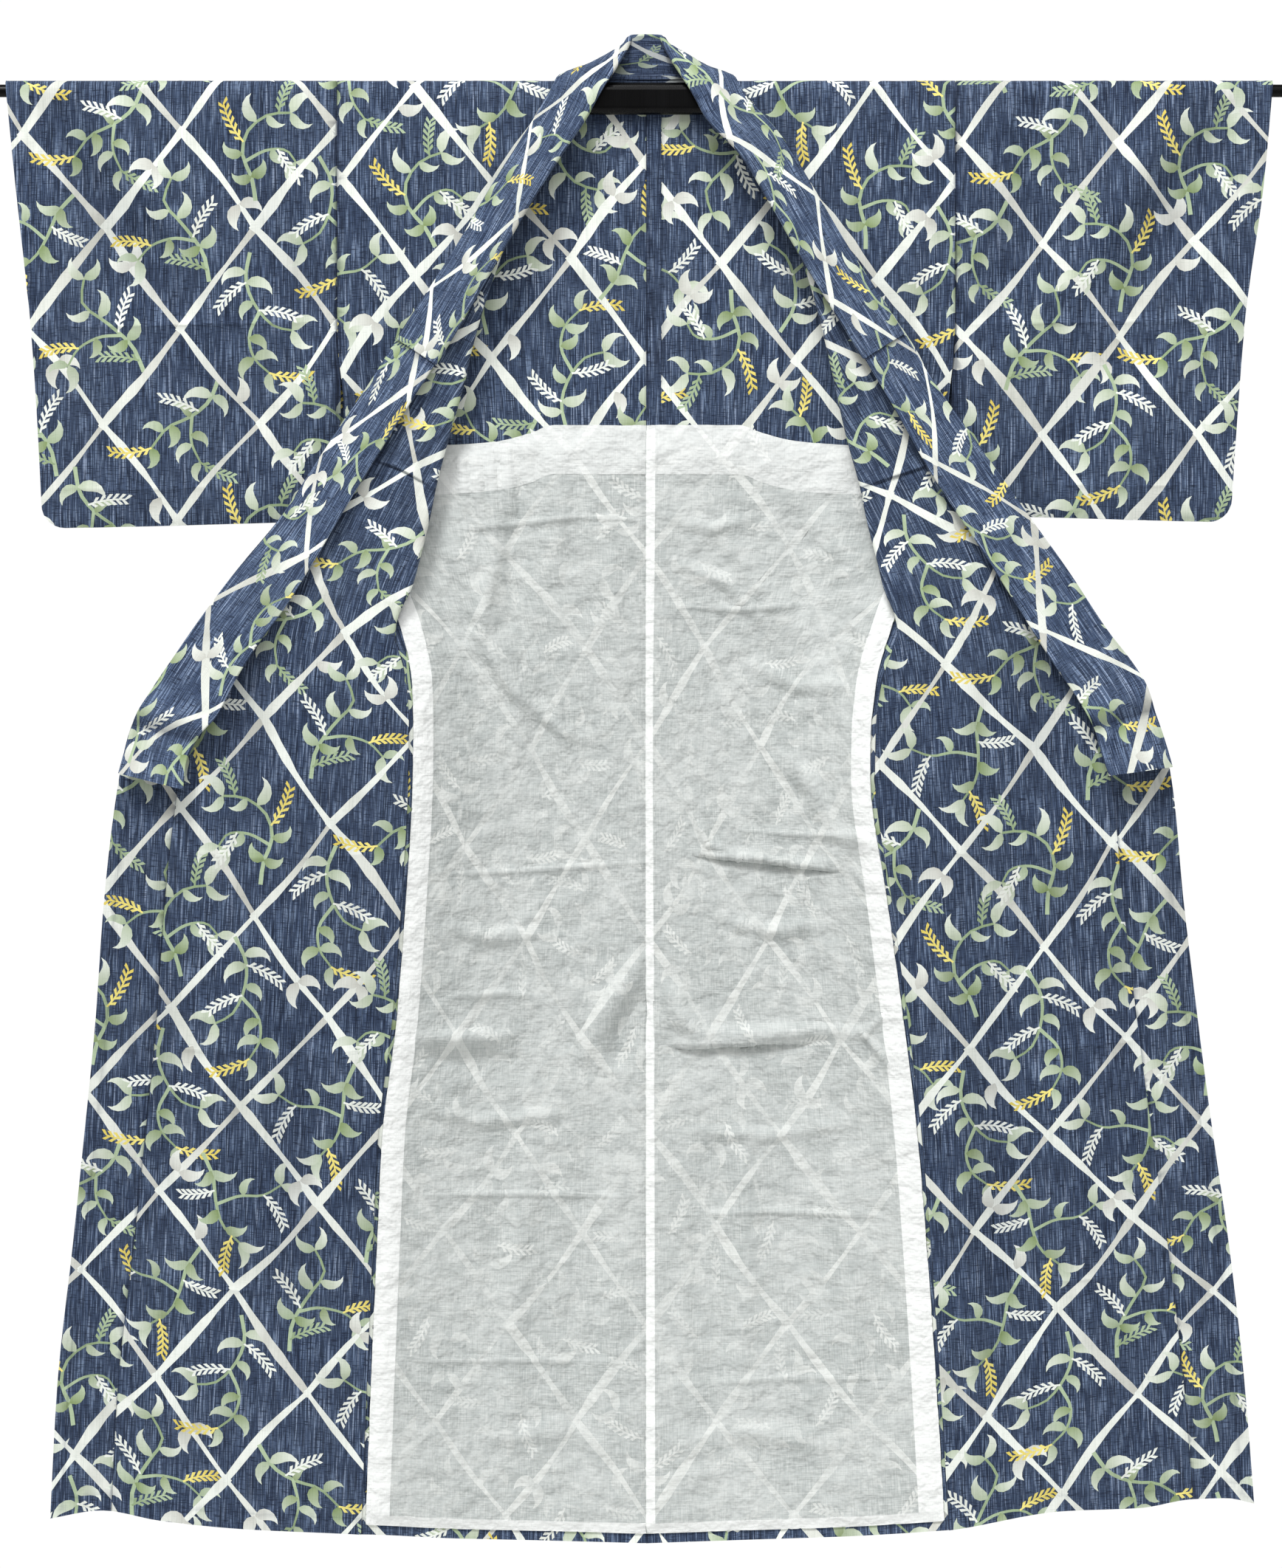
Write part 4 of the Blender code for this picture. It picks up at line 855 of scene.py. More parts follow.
def cotton(name, painted_brightness=1.0):
    """Indigo slub cotton, pale and dark yarns side by side, with its dyed print. Its brightness factor makes a lighter
    copy as painted light, and a per-point value paints shade.
    """
    made, tree, shader = new_material(name)
    uv = tree.nodes.new("ShaderNodeUVMap")
    uv.uv_map = "cloth"
    uv = uv.outputs[0]
    yarn = stretched_noise(tree, uv, (1150, 22), 2.0, 0.6)
    dash = stretched_noise(tree, uv, (820, 28), 1.0, 0.5, (31.7, 4.2, 0))
    long_dash = stretched_noise(tree, uv, (560, 13), 1.0, 0.5, (7.7, 1.2, 0))
    weft = stretched_noise(tree, uv, (85, 820), 2.0, 0.6, (3.1, 9.4, 0))
    weft_fine = stretched_noise(tree, uv, (150, 900), 1.5, 0.5, (13.1, 2.4, 0))
    cloud = stretched_noise(tree, uv, (16, 12), 3.0, 0.6, (1.1, 2.4, 0))
    # Painted light: a factor above 1 brightens the ground's yarn colours in this copy of the cloth.
    k = painted_brightness
    tint = lambda r, g, b: (r * k, g * k, b * k)
    ground = ramp(tree, yarn, [(0.32, tint(0.0080, 0.0132, 0.028)), (0.46, tint(0.0225, 0.0360, 0.072)), (0.58, tint(0.051, 0.078, 0.142)), (0.72, tint(0.118, 0.166, 0.270))])
    ground = mixed(tree, ramp(tree, cloud, [(0.40, (0, 0, 0)), (0.70, (0.30, 0.30, 0.30))]), ground, tint(0.070, 0.096, 0.150))
    pale = ramp(tree, dash, [(0.56, (0, 0, 0)), (0.65, (0.75, 0.75, 0.75))])
    ground = mixed(tree, pale, ground, tint(0.185, 0.250, 0.372))
    pale = ramp(tree, long_dash, [(0.640, (0, 0, 0)), (0.70, (0.80, 0.80, 0.80))])
    ground = mixed(tree, pale, ground, tint(0.290, 0.360, 0.500))
    dark = ramp(tree, weft, [(0.53, (0, 0, 0)), (0.65, (0.84, 0.84, 0.84))])
    ground = mixed(tree, dark, ground, (0.0105, 0.0170, 0.036))
    dark = ramp(tree, weft_fine, [(0.56, (0, 0, 0)), (0.70, (0.45, 0.45, 0.45))])
    ground = mixed(tree, dark, ground, (0.014, 0.022, 0.044))
    dye = tree.nodes.new("ShaderNodeAttribute")
    dye.attribute_name = "dye"
    worn = mixed(tree, ramp(tree, yarn, [(0.34, (0.34, 0.34, 0.34)), (0.56, (0, 0, 0))]), dye.outputs["Color"], (0.62, 0.66, 0.64), "MULTIPLY")
    worn = mixed(tree, ramp(tree, cloud, [(0.48, (0, 0, 0)), (0.66, (0.55, 0.55, 0.55))]), worn, (0.66, 0.655, 0.63), "MULTIPLY")
    worn = mixed(tree, ramp(tree, weft, [(0.56, (0, 0, 0)), (0.70, (0.25, 0.25, 0.25))]), worn, (0.55, 0.58, 0.56), "MULTIPLY")
    colour = mixed(tree, dye.outputs["Alpha"], ground, worn)
    # Painted shade: the mark read here multiplies the colour towards (0.30, 0.32, 0.38) along seams, hem turnings,
    # gaps, creases, fold valleys and the lower fronts.
    seam = tree.nodes.new("ShaderNodeAttribute")
    seam.attribute_name = "doubling_and_painted_shade"
    colour = mixed(tree, seam.outputs["Fac"], colour, (0.30, 0.32, 0.38), "MULTIPLY")
    tree.links.new(colour, shader.inputs["Base Color"])
    shader.inputs["Roughness"].default_value = 0.88
    shader.inputs["Specular IOR Level"].default_value = 0.20
    shader.inputs["Sheen Weight"].default_value = 0.06
    shader.inputs["Sheen Roughness"].default_value = 0.45
    height = math_node(tree, "ADD", math_node(tree, "MULTIPLY", yarn, 0.7), math_node(tree, "MULTIPLY", weft, 0.6))
    bump = tree.nodes.new("ShaderNodeBump")
    bump.inputs["Strength"].default_value = 0.50
    bump.inputs["Distance"].default_value = 0.0005
    tree.links.new(height, bump.inputs["Height"])
    tree.links.new(bump.outputs[0], shader.inputs["Normal"])
    return made


def white_cotton(name):
    """Thin white lining: the print behind it shows through faintly, two-fold cloth is whiter, and painted shade darkens
    a line along its seam.
    """
    made, tree, shader = new_material(name)
    uv = tree.nodes.new("ShaderNodeUVMap")
    uv.uv_map = "cloth"
    uv = uv.outputs[0]
    weave_x = stretched_noise(tree, uv, (900, 40), 2.5, 0.65)
    weave_y = stretched_noise(tree, uv, (40, 900), 2.5, 0.65, (4, 2, 0))
    cloud = stretched_noise(tree, uv, (13, 9), 4.0, 0.62, (8, 3, 0))
    patch = stretched_noise(tree, uv, (62, 46), 3.0, 0.6, (3, 5, 0))
    crinkle = stretched_noise(tree, uv, (30, 38), 3.0, 0.55, (2, 7, 0))
    threads = math_node(tree, "MULTIPLY", math_node(tree, "ADD", weave_x, weave_y), 0.5)
    base = ramp(tree, threads, [(0.36, (0.345, 0.372, 0.366)), (0.50, (0.495, 0.524, 0.512)), (0.64, (0.665, 0.686, 0.670))])
    base = mixed(tree, ramp(tree, cloud, [(0.38, (0, 0, 0)), (0.64, (0.52, 0.52, 0.52))]), base, (0.650, 0.674, 0.660))
    base = mixed(tree, ramp(tree, patch, [(0.44, (0, 0, 0)), (0.66, (0.46, 0.46, 0.46))]), base, (0.400, 0.430, 0.424))
    dye = tree.nodes.new("ShaderNodeAttribute")
    dye.attribute_name = "dye"
    through = math_node(tree, "MULTIPLY", dye.outputs["Alpha"], ramp(tree, cloud, [(0.42, (0.62, 0.62, 0.62)), (0.62, (0.22, 0.22, 0.22))]))
    through = math_node(tree, "MULTIPLY", through, ramp(tree, dye.outputs["Color"], [(0.45, (0.22, 0.22, 0.22)), (0.86, (1, 1, 1))]))
    base = mixed(tree, through, base, (0.80, 0.815, 0.785))
    doubling_and_painted_shade = tree.nodes.new("ShaderNodeAttribute")
    doubling_and_painted_shade.attribute_name = "doubling_and_painted_shade"
    light = math_node(tree, "MULTIPLY", doubling_and_painted_shade.outputs["Fac"], 0.86, True)
    base = mixed(tree, light, base, (0.890, 0.905, 0.892))
    # Painted shade: negative values of the per-point value darken the lining along its seam.
    seam = math_node(tree, "MULTIPLY", doubling_and_painted_shade.outputs["Fac"], -1.0, True)
    base = mixed(tree, seam, base, (0.42, 0.44, 0.44), "MULTIPLY")
    tree.links.new(base, shader.inputs["Base Color"])
    shader.inputs["Roughness"].default_value = 0.90
    shader.inputs["Specular IOR Level"].default_value = 0.20
    height = math_node(tree, "ADD", math_node(tree, "MULTIPLY", crinkle, 5.0), math_node(tree, "MULTIPLY", threads, 0.5))
    bump = tree.nodes.new("ShaderNodeBump")
    bump.inputs["Strength"].default_value = 0.80
    bump.inputs["Distance"].default_value = 0.0024
    tree.links.new(height, bump.inputs["Height"])
    tree.links.new(bump.outputs[0], shader.inputs["Normal"])
    return made


def black_rod(name):
    made, tree, shader = new_material(name)
    where = tree.nodes.new("ShaderNodeTexCoord").outputs["Object"]
    fine = stretched_noise(tree, where, (900, 900), 3.0, 0.6)
    scuff = stretched_noise(tree, where, (40, 700), 3.0, 0.6, (5, 2, 0))
    colour = ramp(tree, scuff, [(0.45, (0.0012, 0.0012, 0.0014)), (0.75, (0.0030, 0.0030, 0.0034))])
    tree.links.new(colour, shader.inputs["Base Color"])
    rough = ramp(tree, fine, [(0.3, (0.22, 0.22, 0.22)), (0.7, (0.32, 0.32, 0.32))])
    tree.links.new(rough, shader.inputs["Roughness"])
    shader.inputs["Specular IOR Level"].default_value = 0.13
    bump = tree.nodes.new("ShaderNodeBump")
    bump.inputs["Strength"].default_value = 0.15
    bump.inputs["Distance"].default_value = 0.0002
    tree.links.new(fine, bump.inputs["Height"])
    tree.links.new(bump.outputs[0], shader.inputs["Normal"])
    return made


def finish_piece(obj, finish, node):
    obj.data.materials.append(finish)
    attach(obj, "root")
    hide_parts(*([node] if isinstance(node, str) else node))
    print("PIECE", obj.name, "triangles", len(obj.data.polygons))
    return obj


# ---- folds and seams of each panel (kind, height, width, px points) ----
BACK_FOLDS = [
    ("soft", 0.0030, 0.020, [(664, 160), (690, 300), (700, 420)]),
    ("soft", 0.0030, 0.022, [(1080, 200), (1060, 340), (1064, 480)]),
    ("soft", -0.0035, 0.018, [(735, 380), (742, 470), (760, 560)]),
]
LINING_FOLDS = [
    ("soft", 0.0014, 0.0050, [(622, 596), (626, 636), (630, 700)]),
    ("soft", 0.0014, 0.0050, [(640, 596), (645, 640), (652, 720)]),
    ("soft", 0.0016, 0.0050, [(660, 594), (664, 640), (668, 740)]),
    ("soft", 0.0014, 0.0050, [(684, 590), (687, 640), (694, 700)]),
    ("soft", 0.0016, 0.0055, [(712, 586), (716, 640), (724, 760)]),
    ("soft", 0.0022, 0.0070, [(640, 850), (690, 930), (760, 990), (800, 1010)]),
    ("soft", 0.0020, 0.0070, [(716, 880), (752, 940), (765, 1020)]),
    ("soft", 0.0020, 0.0065, [(900, 700), (960, 716), (1030, 700)]),
    ("soft", 0.0020, 0.0070, [(905, 760), (985, 790), (1050, 860)]),
    ("soft", 0.0022, 0.0075, [(1010, 900), (1080, 930), (1150, 930)]),
    ("soft", 0.0022, 0.0075, [(960, 1240), (1040, 1262), (1130, 1250)]),
    ("soft", 0.0022, 0.0075, [(596, 1250), (660, 1270), (740, 1262)]),
    ("soft", 0.0020, 0.0070, [(570, 1500), (660, 1520), (760, 1506)]),
    ("soft", 0.0020, 0.0070, [(920, 1530), (1040, 1540), (1160, 1520)]),
    ("soft", 0.0020, 0.0090, [(640, 1960), (760, 1940), (850, 1970)]),
    ("soft", 0.0020, 0.0090, [(900, 1960), (1020, 1945), (1160, 1970)]),
    ("soft", 0.0026, 0.010, [(752, 600), (756, 700), (745, 800)]),
    ("soft", -0.0030, 0.016, [(720, 590), (716, 720), (690, 860)]),
    ("soft", 0.0024, 0.009, [(676, 660), (668, 760), (640, 900)]),
    ("soft", 0.0030, 0.013, [(606, 700), (640, 800), (700, 930), (706, 1040)]),
    ("soft", -0.0030, 0.014, [(598, 780), (625, 900), (660, 1010)]),
    ("soft", 0.0026, 0.012, [(800, 700), (830, 800), (846, 950)]),
    ("soft", 0.0030, 0.012, [(1110, 690), (1150, 760), (1176, 900)]),
    ("soft", -0.0032, 0.016, [(1070, 680), (1100, 800), (1130, 930)]),
    ("soft", 0.0028, 0.014, [(980, 700), (1020, 780), (1090, 880)]),
    ("soft", 0.0030, 0.009, [(1040, 1028), (1080, 1040), (1104, 1080), (1128, 1130)]),
    ("soft", 0.0024, 0.008, [(1110, 1126), (1150, 1136), (1196, 1140)]),
    ("ridge", 0.0030, 0.0034, [(944, 1110), (958, 1144), (985, 1152)]),
    ("step", 0.0032, 0.0034, [(938, 1158), (1000, 1165), (1065, 1171), (1140, 1178)]),
    ("ridge", 0.0014, 0.0030, [(590, 1184), (700, 1180), (800, 1173), (872, 1168)]),
    ("ridge", 0.0012, 0.0030, [(1089, 1110), (1086, 1190), (1084, 1290)]),
    ("ridge", 0.0012, 0.0026, [(1000, 1125), (1080, 1130), (1170, 1132)]),
    ("soft", 0.0040, 0.011, [(876, 1290), (838, 1345), (800, 1405), (790, 1450)]),
    ("soft", -0.0040, 0.012, [(880, 1350), (850, 1400), (838, 1450)]),
    ("soft", 0.0040, 0.010, [(903, 1330), (925, 1380), (958, 1416)]),
    ("soft", -0.0030, 0.011, [(896, 1400), (915, 1440), (930, 1470)]),
    ("step", 0.0030, 0.0042, [(905, 1420), (960, 1419), (1030, 1412), (1100, 1410)]),
    ("soft", 0.0030, 0.007, [(930, 1396), (1010, 1400), (1100, 1396), (1170, 1398)]),
    ("ridge", 0.0026, 0.0036, [(1160, 1390), (1180, 1412), (1204, 1446)]),
    ("ridge", 0.0024, 0.0036, [(1196, 1372), (1180, 1388), (1168, 1408)]),
    ("soft", 0.0030, 0.008, [(560, 1402), (620, 1406), (700, 1402)]),
    ("soft", -0.0028, 0.009, [(556, 1430), (630, 1436), (720, 1440)]),
    ("ridge", 0.0016, 0.0034, [(600, 1350), (680, 1345), (740, 1352)]),
    ("soft", 0.0030, 0.014, [(700, 1180), (740, 1300), (790, 1390)]),
    ("soft", 0.0026, 0.016, [(1000, 1500), (1010, 1700), (1000, 1950)]),
    ("soft", -0.0026, 0.018, [(960, 1520), (956, 1750), (966, 2000)]),
    ("soft", 0.0026, 0.016, [(720, 1500), (700, 1720), (690, 1980)]),
    ("soft", -0.0026, 0.018, [(800, 1480), (790, 1700), (780, 2000)]),
    ("soft", 0.0026, 0.016, [(1130, 1500), (1150, 1700), (1160, 1960)]),
    ("ridge", 0.0014, 0.0030, [(560, 1620), (700, 1618), (860, 1622)]),
    ("ridge", 0.0014, 0.0030, [(900, 1648), (1040, 1642), (1200, 1650)]),
    ("ridge", 0.0012, 0.0030, [(556, 1850), (700, 1846), (864, 1848)]),
    ("ridge", 0.0012, 0.0030, [(900, 1880), (1060, 1872), (1220, 1876)]),
    ("ridge", 0.0014, 0.0030, [(596, 720), (680, 712), (780, 700), (868, 704)]),
    ("ridge", 0.0014, 0.0030, [(892, 820), (1000, 826), (1110, 818)]),
]
FRONT_FOLDS = {
    "right": [
        ("=step", 0.0016, 0.0024, [(512, 626), (545, 639), (596, 668)]),
        ("soft", 0.0066, 0.020, [(420, 840), (452, 960), (450, 1100), (430, 1240)]),
        ("soft", -0.0048, 0.022, [(350, 840), (330, 960), (300, 1100)]),
        ("soft", 0.0066, 0.024, [(330, 1260), (300, 1500), (290, 1800), (296, 2040)]),
        ("soft", -0.0048, 0.026, [(400, 1300), (396, 1560), (400, 1850)]),
        ("soft", 0.0052, 0.018, [(480, 1250), (470, 1500), (456, 1800), (452, 2050)]),
        ("soft", -0.0030, 0.016, [(240, 1160), (226, 1400), (214, 1700)]),
        ("ridge", 0.0012, 0.0032, [(140, 1405), (260, 1420), (400, 1424), (520, 1420)]),
        ("ridge", 0.0012, 0.0032, [(110, 1740), (250, 1755), (400, 1760), (510, 1762)]),
        ("ridge", 0.0010, 0.0030, [(232, 1150), (340, 1162), (450, 1160), (540, 1152)]),
        ("soft", 0.0034, 0.012, [(590, 560), (560, 640), (540, 720)]),
    ],
    "left": [
        ("=step", 0.0016, 0.0024, [(1160, 664), (1215, 646), (1262, 630)]),
        ("soft", 0.0066, 0.020, [(1330, 840), (1300, 960), (1290, 1100), (1300, 1240)]),
        ("soft", -0.0048, 0.022, [(1390, 840), (1404, 960), (1420, 1100)]),
        ("soft", 0.0066, 0.024, [(1410, 1260), (1440, 1500), (1460, 1800), (1470, 2040)]),
        ("soft", -0.0048, 0.026, [(1340, 1300), (1350, 1560), (1360, 1850)]),
        ("soft", 0.0052, 0.018, [(1260, 1250), (1284, 1500), (1310, 1800), (1320, 2040)]),
        ("soft", -0.0030, 0.016, [(1500, 1160), (1520, 1400), (1544, 1700)]),
        ("ridge", 0.0012, 0.0032, [(1240, 1412), (1380, 1420), (1500, 1412), (1610, 1400)]),
        ("ridge", 0.0012, 0.0032, [(1270, 1752), (1400, 1760), (1540, 1750), (1650, 1736)]),
        ("ridge", 0.0010, 0.0030, [(1210, 1150), (1340, 1158), (1460, 1152), (1590, 1140)]),
        ("soft", 0.0034, 0.012, [(1160, 560), (1196, 640), (1220, 720)]),
    ],
}
TOP_FOLDS = {  # the hanging part of the front, beside the sleeve
    "right": [("ridge", 0.0014, 0.0030, [(636, 122), (668, 130), (700, 134)]), ("soft", 0.0052, 0.016, [(520, 150), (500, 260), (478, 400)])],
    "left": [("ridge", 0.0014, 0.0030, [(1186, 124), (1240, 128), (1294, 124)]), ("soft", 0.0052, 0.016, [(1230, 150), (1250, 260), (1276, 400)])],
}
SLEEVE_FOLDS = {
    "right": [
        ("ridge", 0.0018, 0.0034, [(20, 441), (140, 443), (280, 440), (456, 436)]),
        ("ridge", 0.0012, 0.0030, [(60, 661), (180, 664), (330, 658)]),
        ("soft", -0.0062, 0.026, [(62, 116), (110, 220), (180, 330), (230, 430)]),
        ("soft", 0.0066, 0.024, [(130, 116), (190, 240), (270, 350), (330, 440)]),
        ("soft", -0.0048, 0.024, [(330, 120), (350, 250), (400, 380), (430, 470)]),
        ("soft", 0.0052, 0.022, [(120, 460), (170, 560), (200, 690)]),
        ("soft", -0.0030, 0.022, [(250, 470), (300, 560), (320, 690)]),
    ],
    "left": [
        ("ridge", 0.0018, 0.0034, [(1300, 440), (1440, 438), (1580, 436), (1690, 430)]),
        ("ridge", 0.0012, 0.0030, [(1400, 654), (1520, 660), (1650, 655)]),
        ("soft", -0.0062, 0.026, [(1676, 120), (1620, 220), (1560, 330), (1500, 430)]),
        ("soft", 0.0066, 0.024, [(1600, 116), (1540, 240), (1480, 350), (1420, 440)]),
        ("soft", -0.0048, 0.024, [(1400, 120), (1390, 250), (1350, 380), (1320, 470)]),
        ("soft", 0.0052, 0.022, [(1610, 460), (1560, 560), (1540, 690)]),
        ("soft", -0.0030, 0.022, [(1480, 470), (1440, 560), (1420, 690)]),
    ],
}
TILT = Table("z turn", [(0.02, 0.46), (-0.30, 0.44), (-0.44, 0.36), (-0.56, 0.22), (-0.70, 0.10), (-0.90, 0.07), (-1.56, 0.05)])
TILT_AT = (0.40, -0.56)


def flap_print(x, z):
    """Print coordinates of a turned-out front from its place: the cloth's grain leans there."""
    a = TILT("turn", z)
    dx, dz = x - TILT_AT[0], z - TILT_AT[1]
    return TILT_AT[0] + dx * np.cos(a) + dz * np.sin(a), -(TILT_AT[1] + dz * np.cos(a) - dx * np.sin(a))


def flap_place(s, t):
    """The place (x, z) that has those print coordinates."""
    x, z = s.copy(), -t.copy()
    for _ in range(24):
        s1, t1 = flap_print(x, z)
        x, z = x + (s - s1) * 0.9, z - (t - t1) * 0.9
    return x, z


def on_flap(side, u, v):
    """1 where the cloth is turned out, past the middle of the roll."""
    roll = row_value(FRONT[side]["reach"][:, 1 + FOLD // 2], v)
    turned = ease((v - ARC) / 0.040)
    return (v > ARC) & ((u > roll) | (v > v_of_z(-0.585))) & (turned > 0.02)


def okumi_width(z):
    return OKUMI_WIDTH * ease((OKUMI_TOP - z) / 0.45) * (z < OKUMI_TOP)


def front_width(side, v):
    width = row_value(FRONT[side]["reach"][:, -1], v)
    okumi = okumi_width(hang(v)[1])
    return width - np.where(okumi > 0, np.maximum(0.0, okumi - 0.0018), 0.0)


def flap_shapes(side, sign, origin, seed, lo_z, hi_z, x_lo, x_hi):
    """The turned-out part's print, brought back to the flat cloth's own coordinates."""
    zs = np.linspace(lo_z, hi_z, 40)
    corners = [flap_print(x, zs) for x in (x_lo, x_hi)]
    s = np.concatenate([c[0] for c in corners]) * sign
    t = np.concatenate([c[1] for c in corners])
    shapes = print_shapes((s.min(), t.min()), (s.max(), t.max()), origin, seed)
    if not shapes:
        return []
    f = FRONT[side]
    sizes = [len(shape[0]) + 2 for shape in shapes]
    pts = np.concatenate([np.vstack([ring, a[None], b[None]]) for ring, _, _, a, b in shapes])
    x, z = flap_place(pts[:, 0] * sign, pts[:, 1])
    v = v_of_z(z)
    ra, rb = row_value(f["reach"][:, FOLD], v), row_value(f["reach"][:, -1], v)
    xa, xb = row_value(f["px"][:, FOLD], v), row_value(f["px"][:, -1], v)
    u = ra + (rb - ra) * (x - xa) / np.maximum(0.02, xb - xa)
    roll = row_value(f["reach"][:, 1 + FOLD // 2], v)
    fits = ((u > roll - 0.004) | ((u > -0.012) & (v > v_of_z(-0.56)))) & (u < rb + 0.012) & (z > lo_z - 0.03) & (z < hi_z + 0.03) & (v > 0.012) & (v < LENGTH_V + 0.02)
    uv = np.stack([u, v], axis=1)
    made, start = [], 0
    for n, (ring, c0, c1, a, b) in zip(sizes, shapes):
        own, ok = uv[start : start + n], fits[start : start + n]
        start += n
        if ok[:-2].any() and own[:, 1].min() > 0.0:
            made.append((own[:-2], c0, c1, own[-2], own[-1]))
    return made


def body(side, sign, finish):
    end_v, middle = LENGTH_V, SHOULDER + (0.0035 if side == "right" else 0.0)
    neck_v = -ARC + 0.0090
    neck = SHOULDER - NECK
    fine = lambda a, b, step: list(np.linspace(a, b, max(2, int(round(abs(b - a) / step)) + 1)))
    front_rows = fine(0.0, end_v, 0.0115)
    outline = [(0.0, v) for v in fine(-end_v, end_v, 0.009)]
    w = float(front_width(side, np.array(end_v)))
    outline += [(u, end_v) for u in fine(0.0, w, 0.009)[1:-1]]
    vs = np.array(front_rows[::-1])
    outline += list(zip(front_width(side, vs), vs))
    outline += [(neck, -ARC / 3), (neck + 0.004, neck_v)]
    outline += [(u, neck_v) for u in fine(neck + 0.012, middle, 0.009)]
    outline += [(middle, v) for v in fine(neck_v, -end_v, 0.009)[1:]]
    outline += [(u, -end_v) for u in fine(middle, 0.0, 0.009)[1:-1]]

    reach = FRONT[side]["reach"]
    lines = []
    for k in (1, 3, 5, 6, 7, 9, FOLD):
        vv = np.arange(ARC + 0.012, v_of_z(-0.63), 0.006)
        uu = row_value(reach[:, k], vv)
        keep = uu < front_width(side, vv) - 0.003
        if keep.any():
            first = int(np.argmax(keep))
            lines.append(np.stack([uu[first:], vv[first:]], axis=1))
    for v in (ARC * 0.25, ARC * 0.5, ARC * 0.75, ARC):
        for s in (-1, 1):
            far = neck - 0.004 if (s < 0 and v < ARC * 0.9) or v < ARC else float(front_width(side, np.array(v))) - 0.004
            if s < 0 and v >= ARC:
                far = middle - 0.003
            lines.append([(u, s * v) for u in fine(0.003, far, 0.009)])

    def flap_uv(line):
        v = v_of_z(line[:, 1])
        return np.stack([front_u(side, np.abs(line[:, 0]), v), v], axis=1)

    def top_uv(line):
        v = v_of_z(line[:, 1])
        return np.stack([front_u(side, np.abs(line[:, 0]), v, flap=False), v], axis=1)

    def kept(line):
        ok = (line[:, 0] > 0.003) & (line[:, 0] < front_width(side, line[:, 1]) - 0.003) & (line[:, 1] < end_v - 0.003)
        return line[ok]

    for line in crease_lines(FRONT_FOLDS[side], flap_uv) + crease_lines(TOP_FOLDS[side], top_uv):
        line = kept(line)
        if len(line) > 2:
            lines.append(line)
    # hems: the turned-in bottom and the back seam's turning
    for off in (0.0165, 0.0172):
        lines.append([(u, end_v - off) for u in fine(0.003, w - 0.003, 0.010)])
        lines.append([(u, -end_v + off) for u in fine(0.003, middle - 0.003, 0.010)])
    if side == "left":
        for off in (0.0160, 0.0167):
            lines.append([(middle - off, v) for v in fine(-0.024, -end_v + 0.02, 0.010)])
    else:
        for off in (0.0005, 0.0030):
            lines.append([(SHOULDER - off, v) for v in fine(-0.024, -end_v + 0.02, 0.010)])

    inner = []
    for n, v in enumerate(front_rows[3:-1]):
        width = float(front_width(side, np.array(v)))
        count = max(2, int(width / 0.0120))
        off = 0.0050 * (n % 2)
        inner += [(u, v) for u in np.linspace(0.004, width - 0.004, count) + off if u < width - 0.003]
    for n, v in enumerate(fine(-ARC - 0.008, -end_v + 0.006, 0.0140)):
        inner += [(u, v) for u in np.linspace(0.005, middle - 0.006, 25) + 0.006 * (n % 2) if u < middle - 0.003]

    home = {"right": (-SHOULDER, 1.0), "left": (SHOULDER, -1.0)}[side]
    at = PRINT_AT["back"]
    shapes = print_shapes((min(home[0], 0), -end_v), (max(home[0], 0), 0.62), at, 11)
    straight = []
    for ring, c0, c1, a, b in shapes:
        go = lambda p: np.stack([(p[..., 0] - home[0]) * home[1], p[..., 1]], axis=-1)
        straight.append((go(ring), c0, c1, go(a), go(b)))
    far = 0.66
    flap = flap_shapes(side, sign, PRINT_AT["front_" + side], 23, -1.56, -0.02, 0.09, far)
    shapes = straight + flap
    points, tris, top = cut(outline, lines, inner, shapes)
    # a shape shows only on its own part of the cloth
    centre = points[tris].mean(axis=1)
    flapped = on_flap(side, centre[:, 0], centre[:, 1])
    return points, tris, top, shapes, len(straight), flapped


PRINT_AT = {
    "back": (0.000, 0.320),
    "front_right": (-0.395, 0.667),
    "front_left": (0.395, 0.700),
    "sleeve_right": (-0.496, 0.060),
    "sleeve_left": (0.502, 0.075),
    "collar": (0.020, 0.050),
    "okumi_right": (-0.560, 0.870),
    "okumi_left": (0.560, 0.905),
}


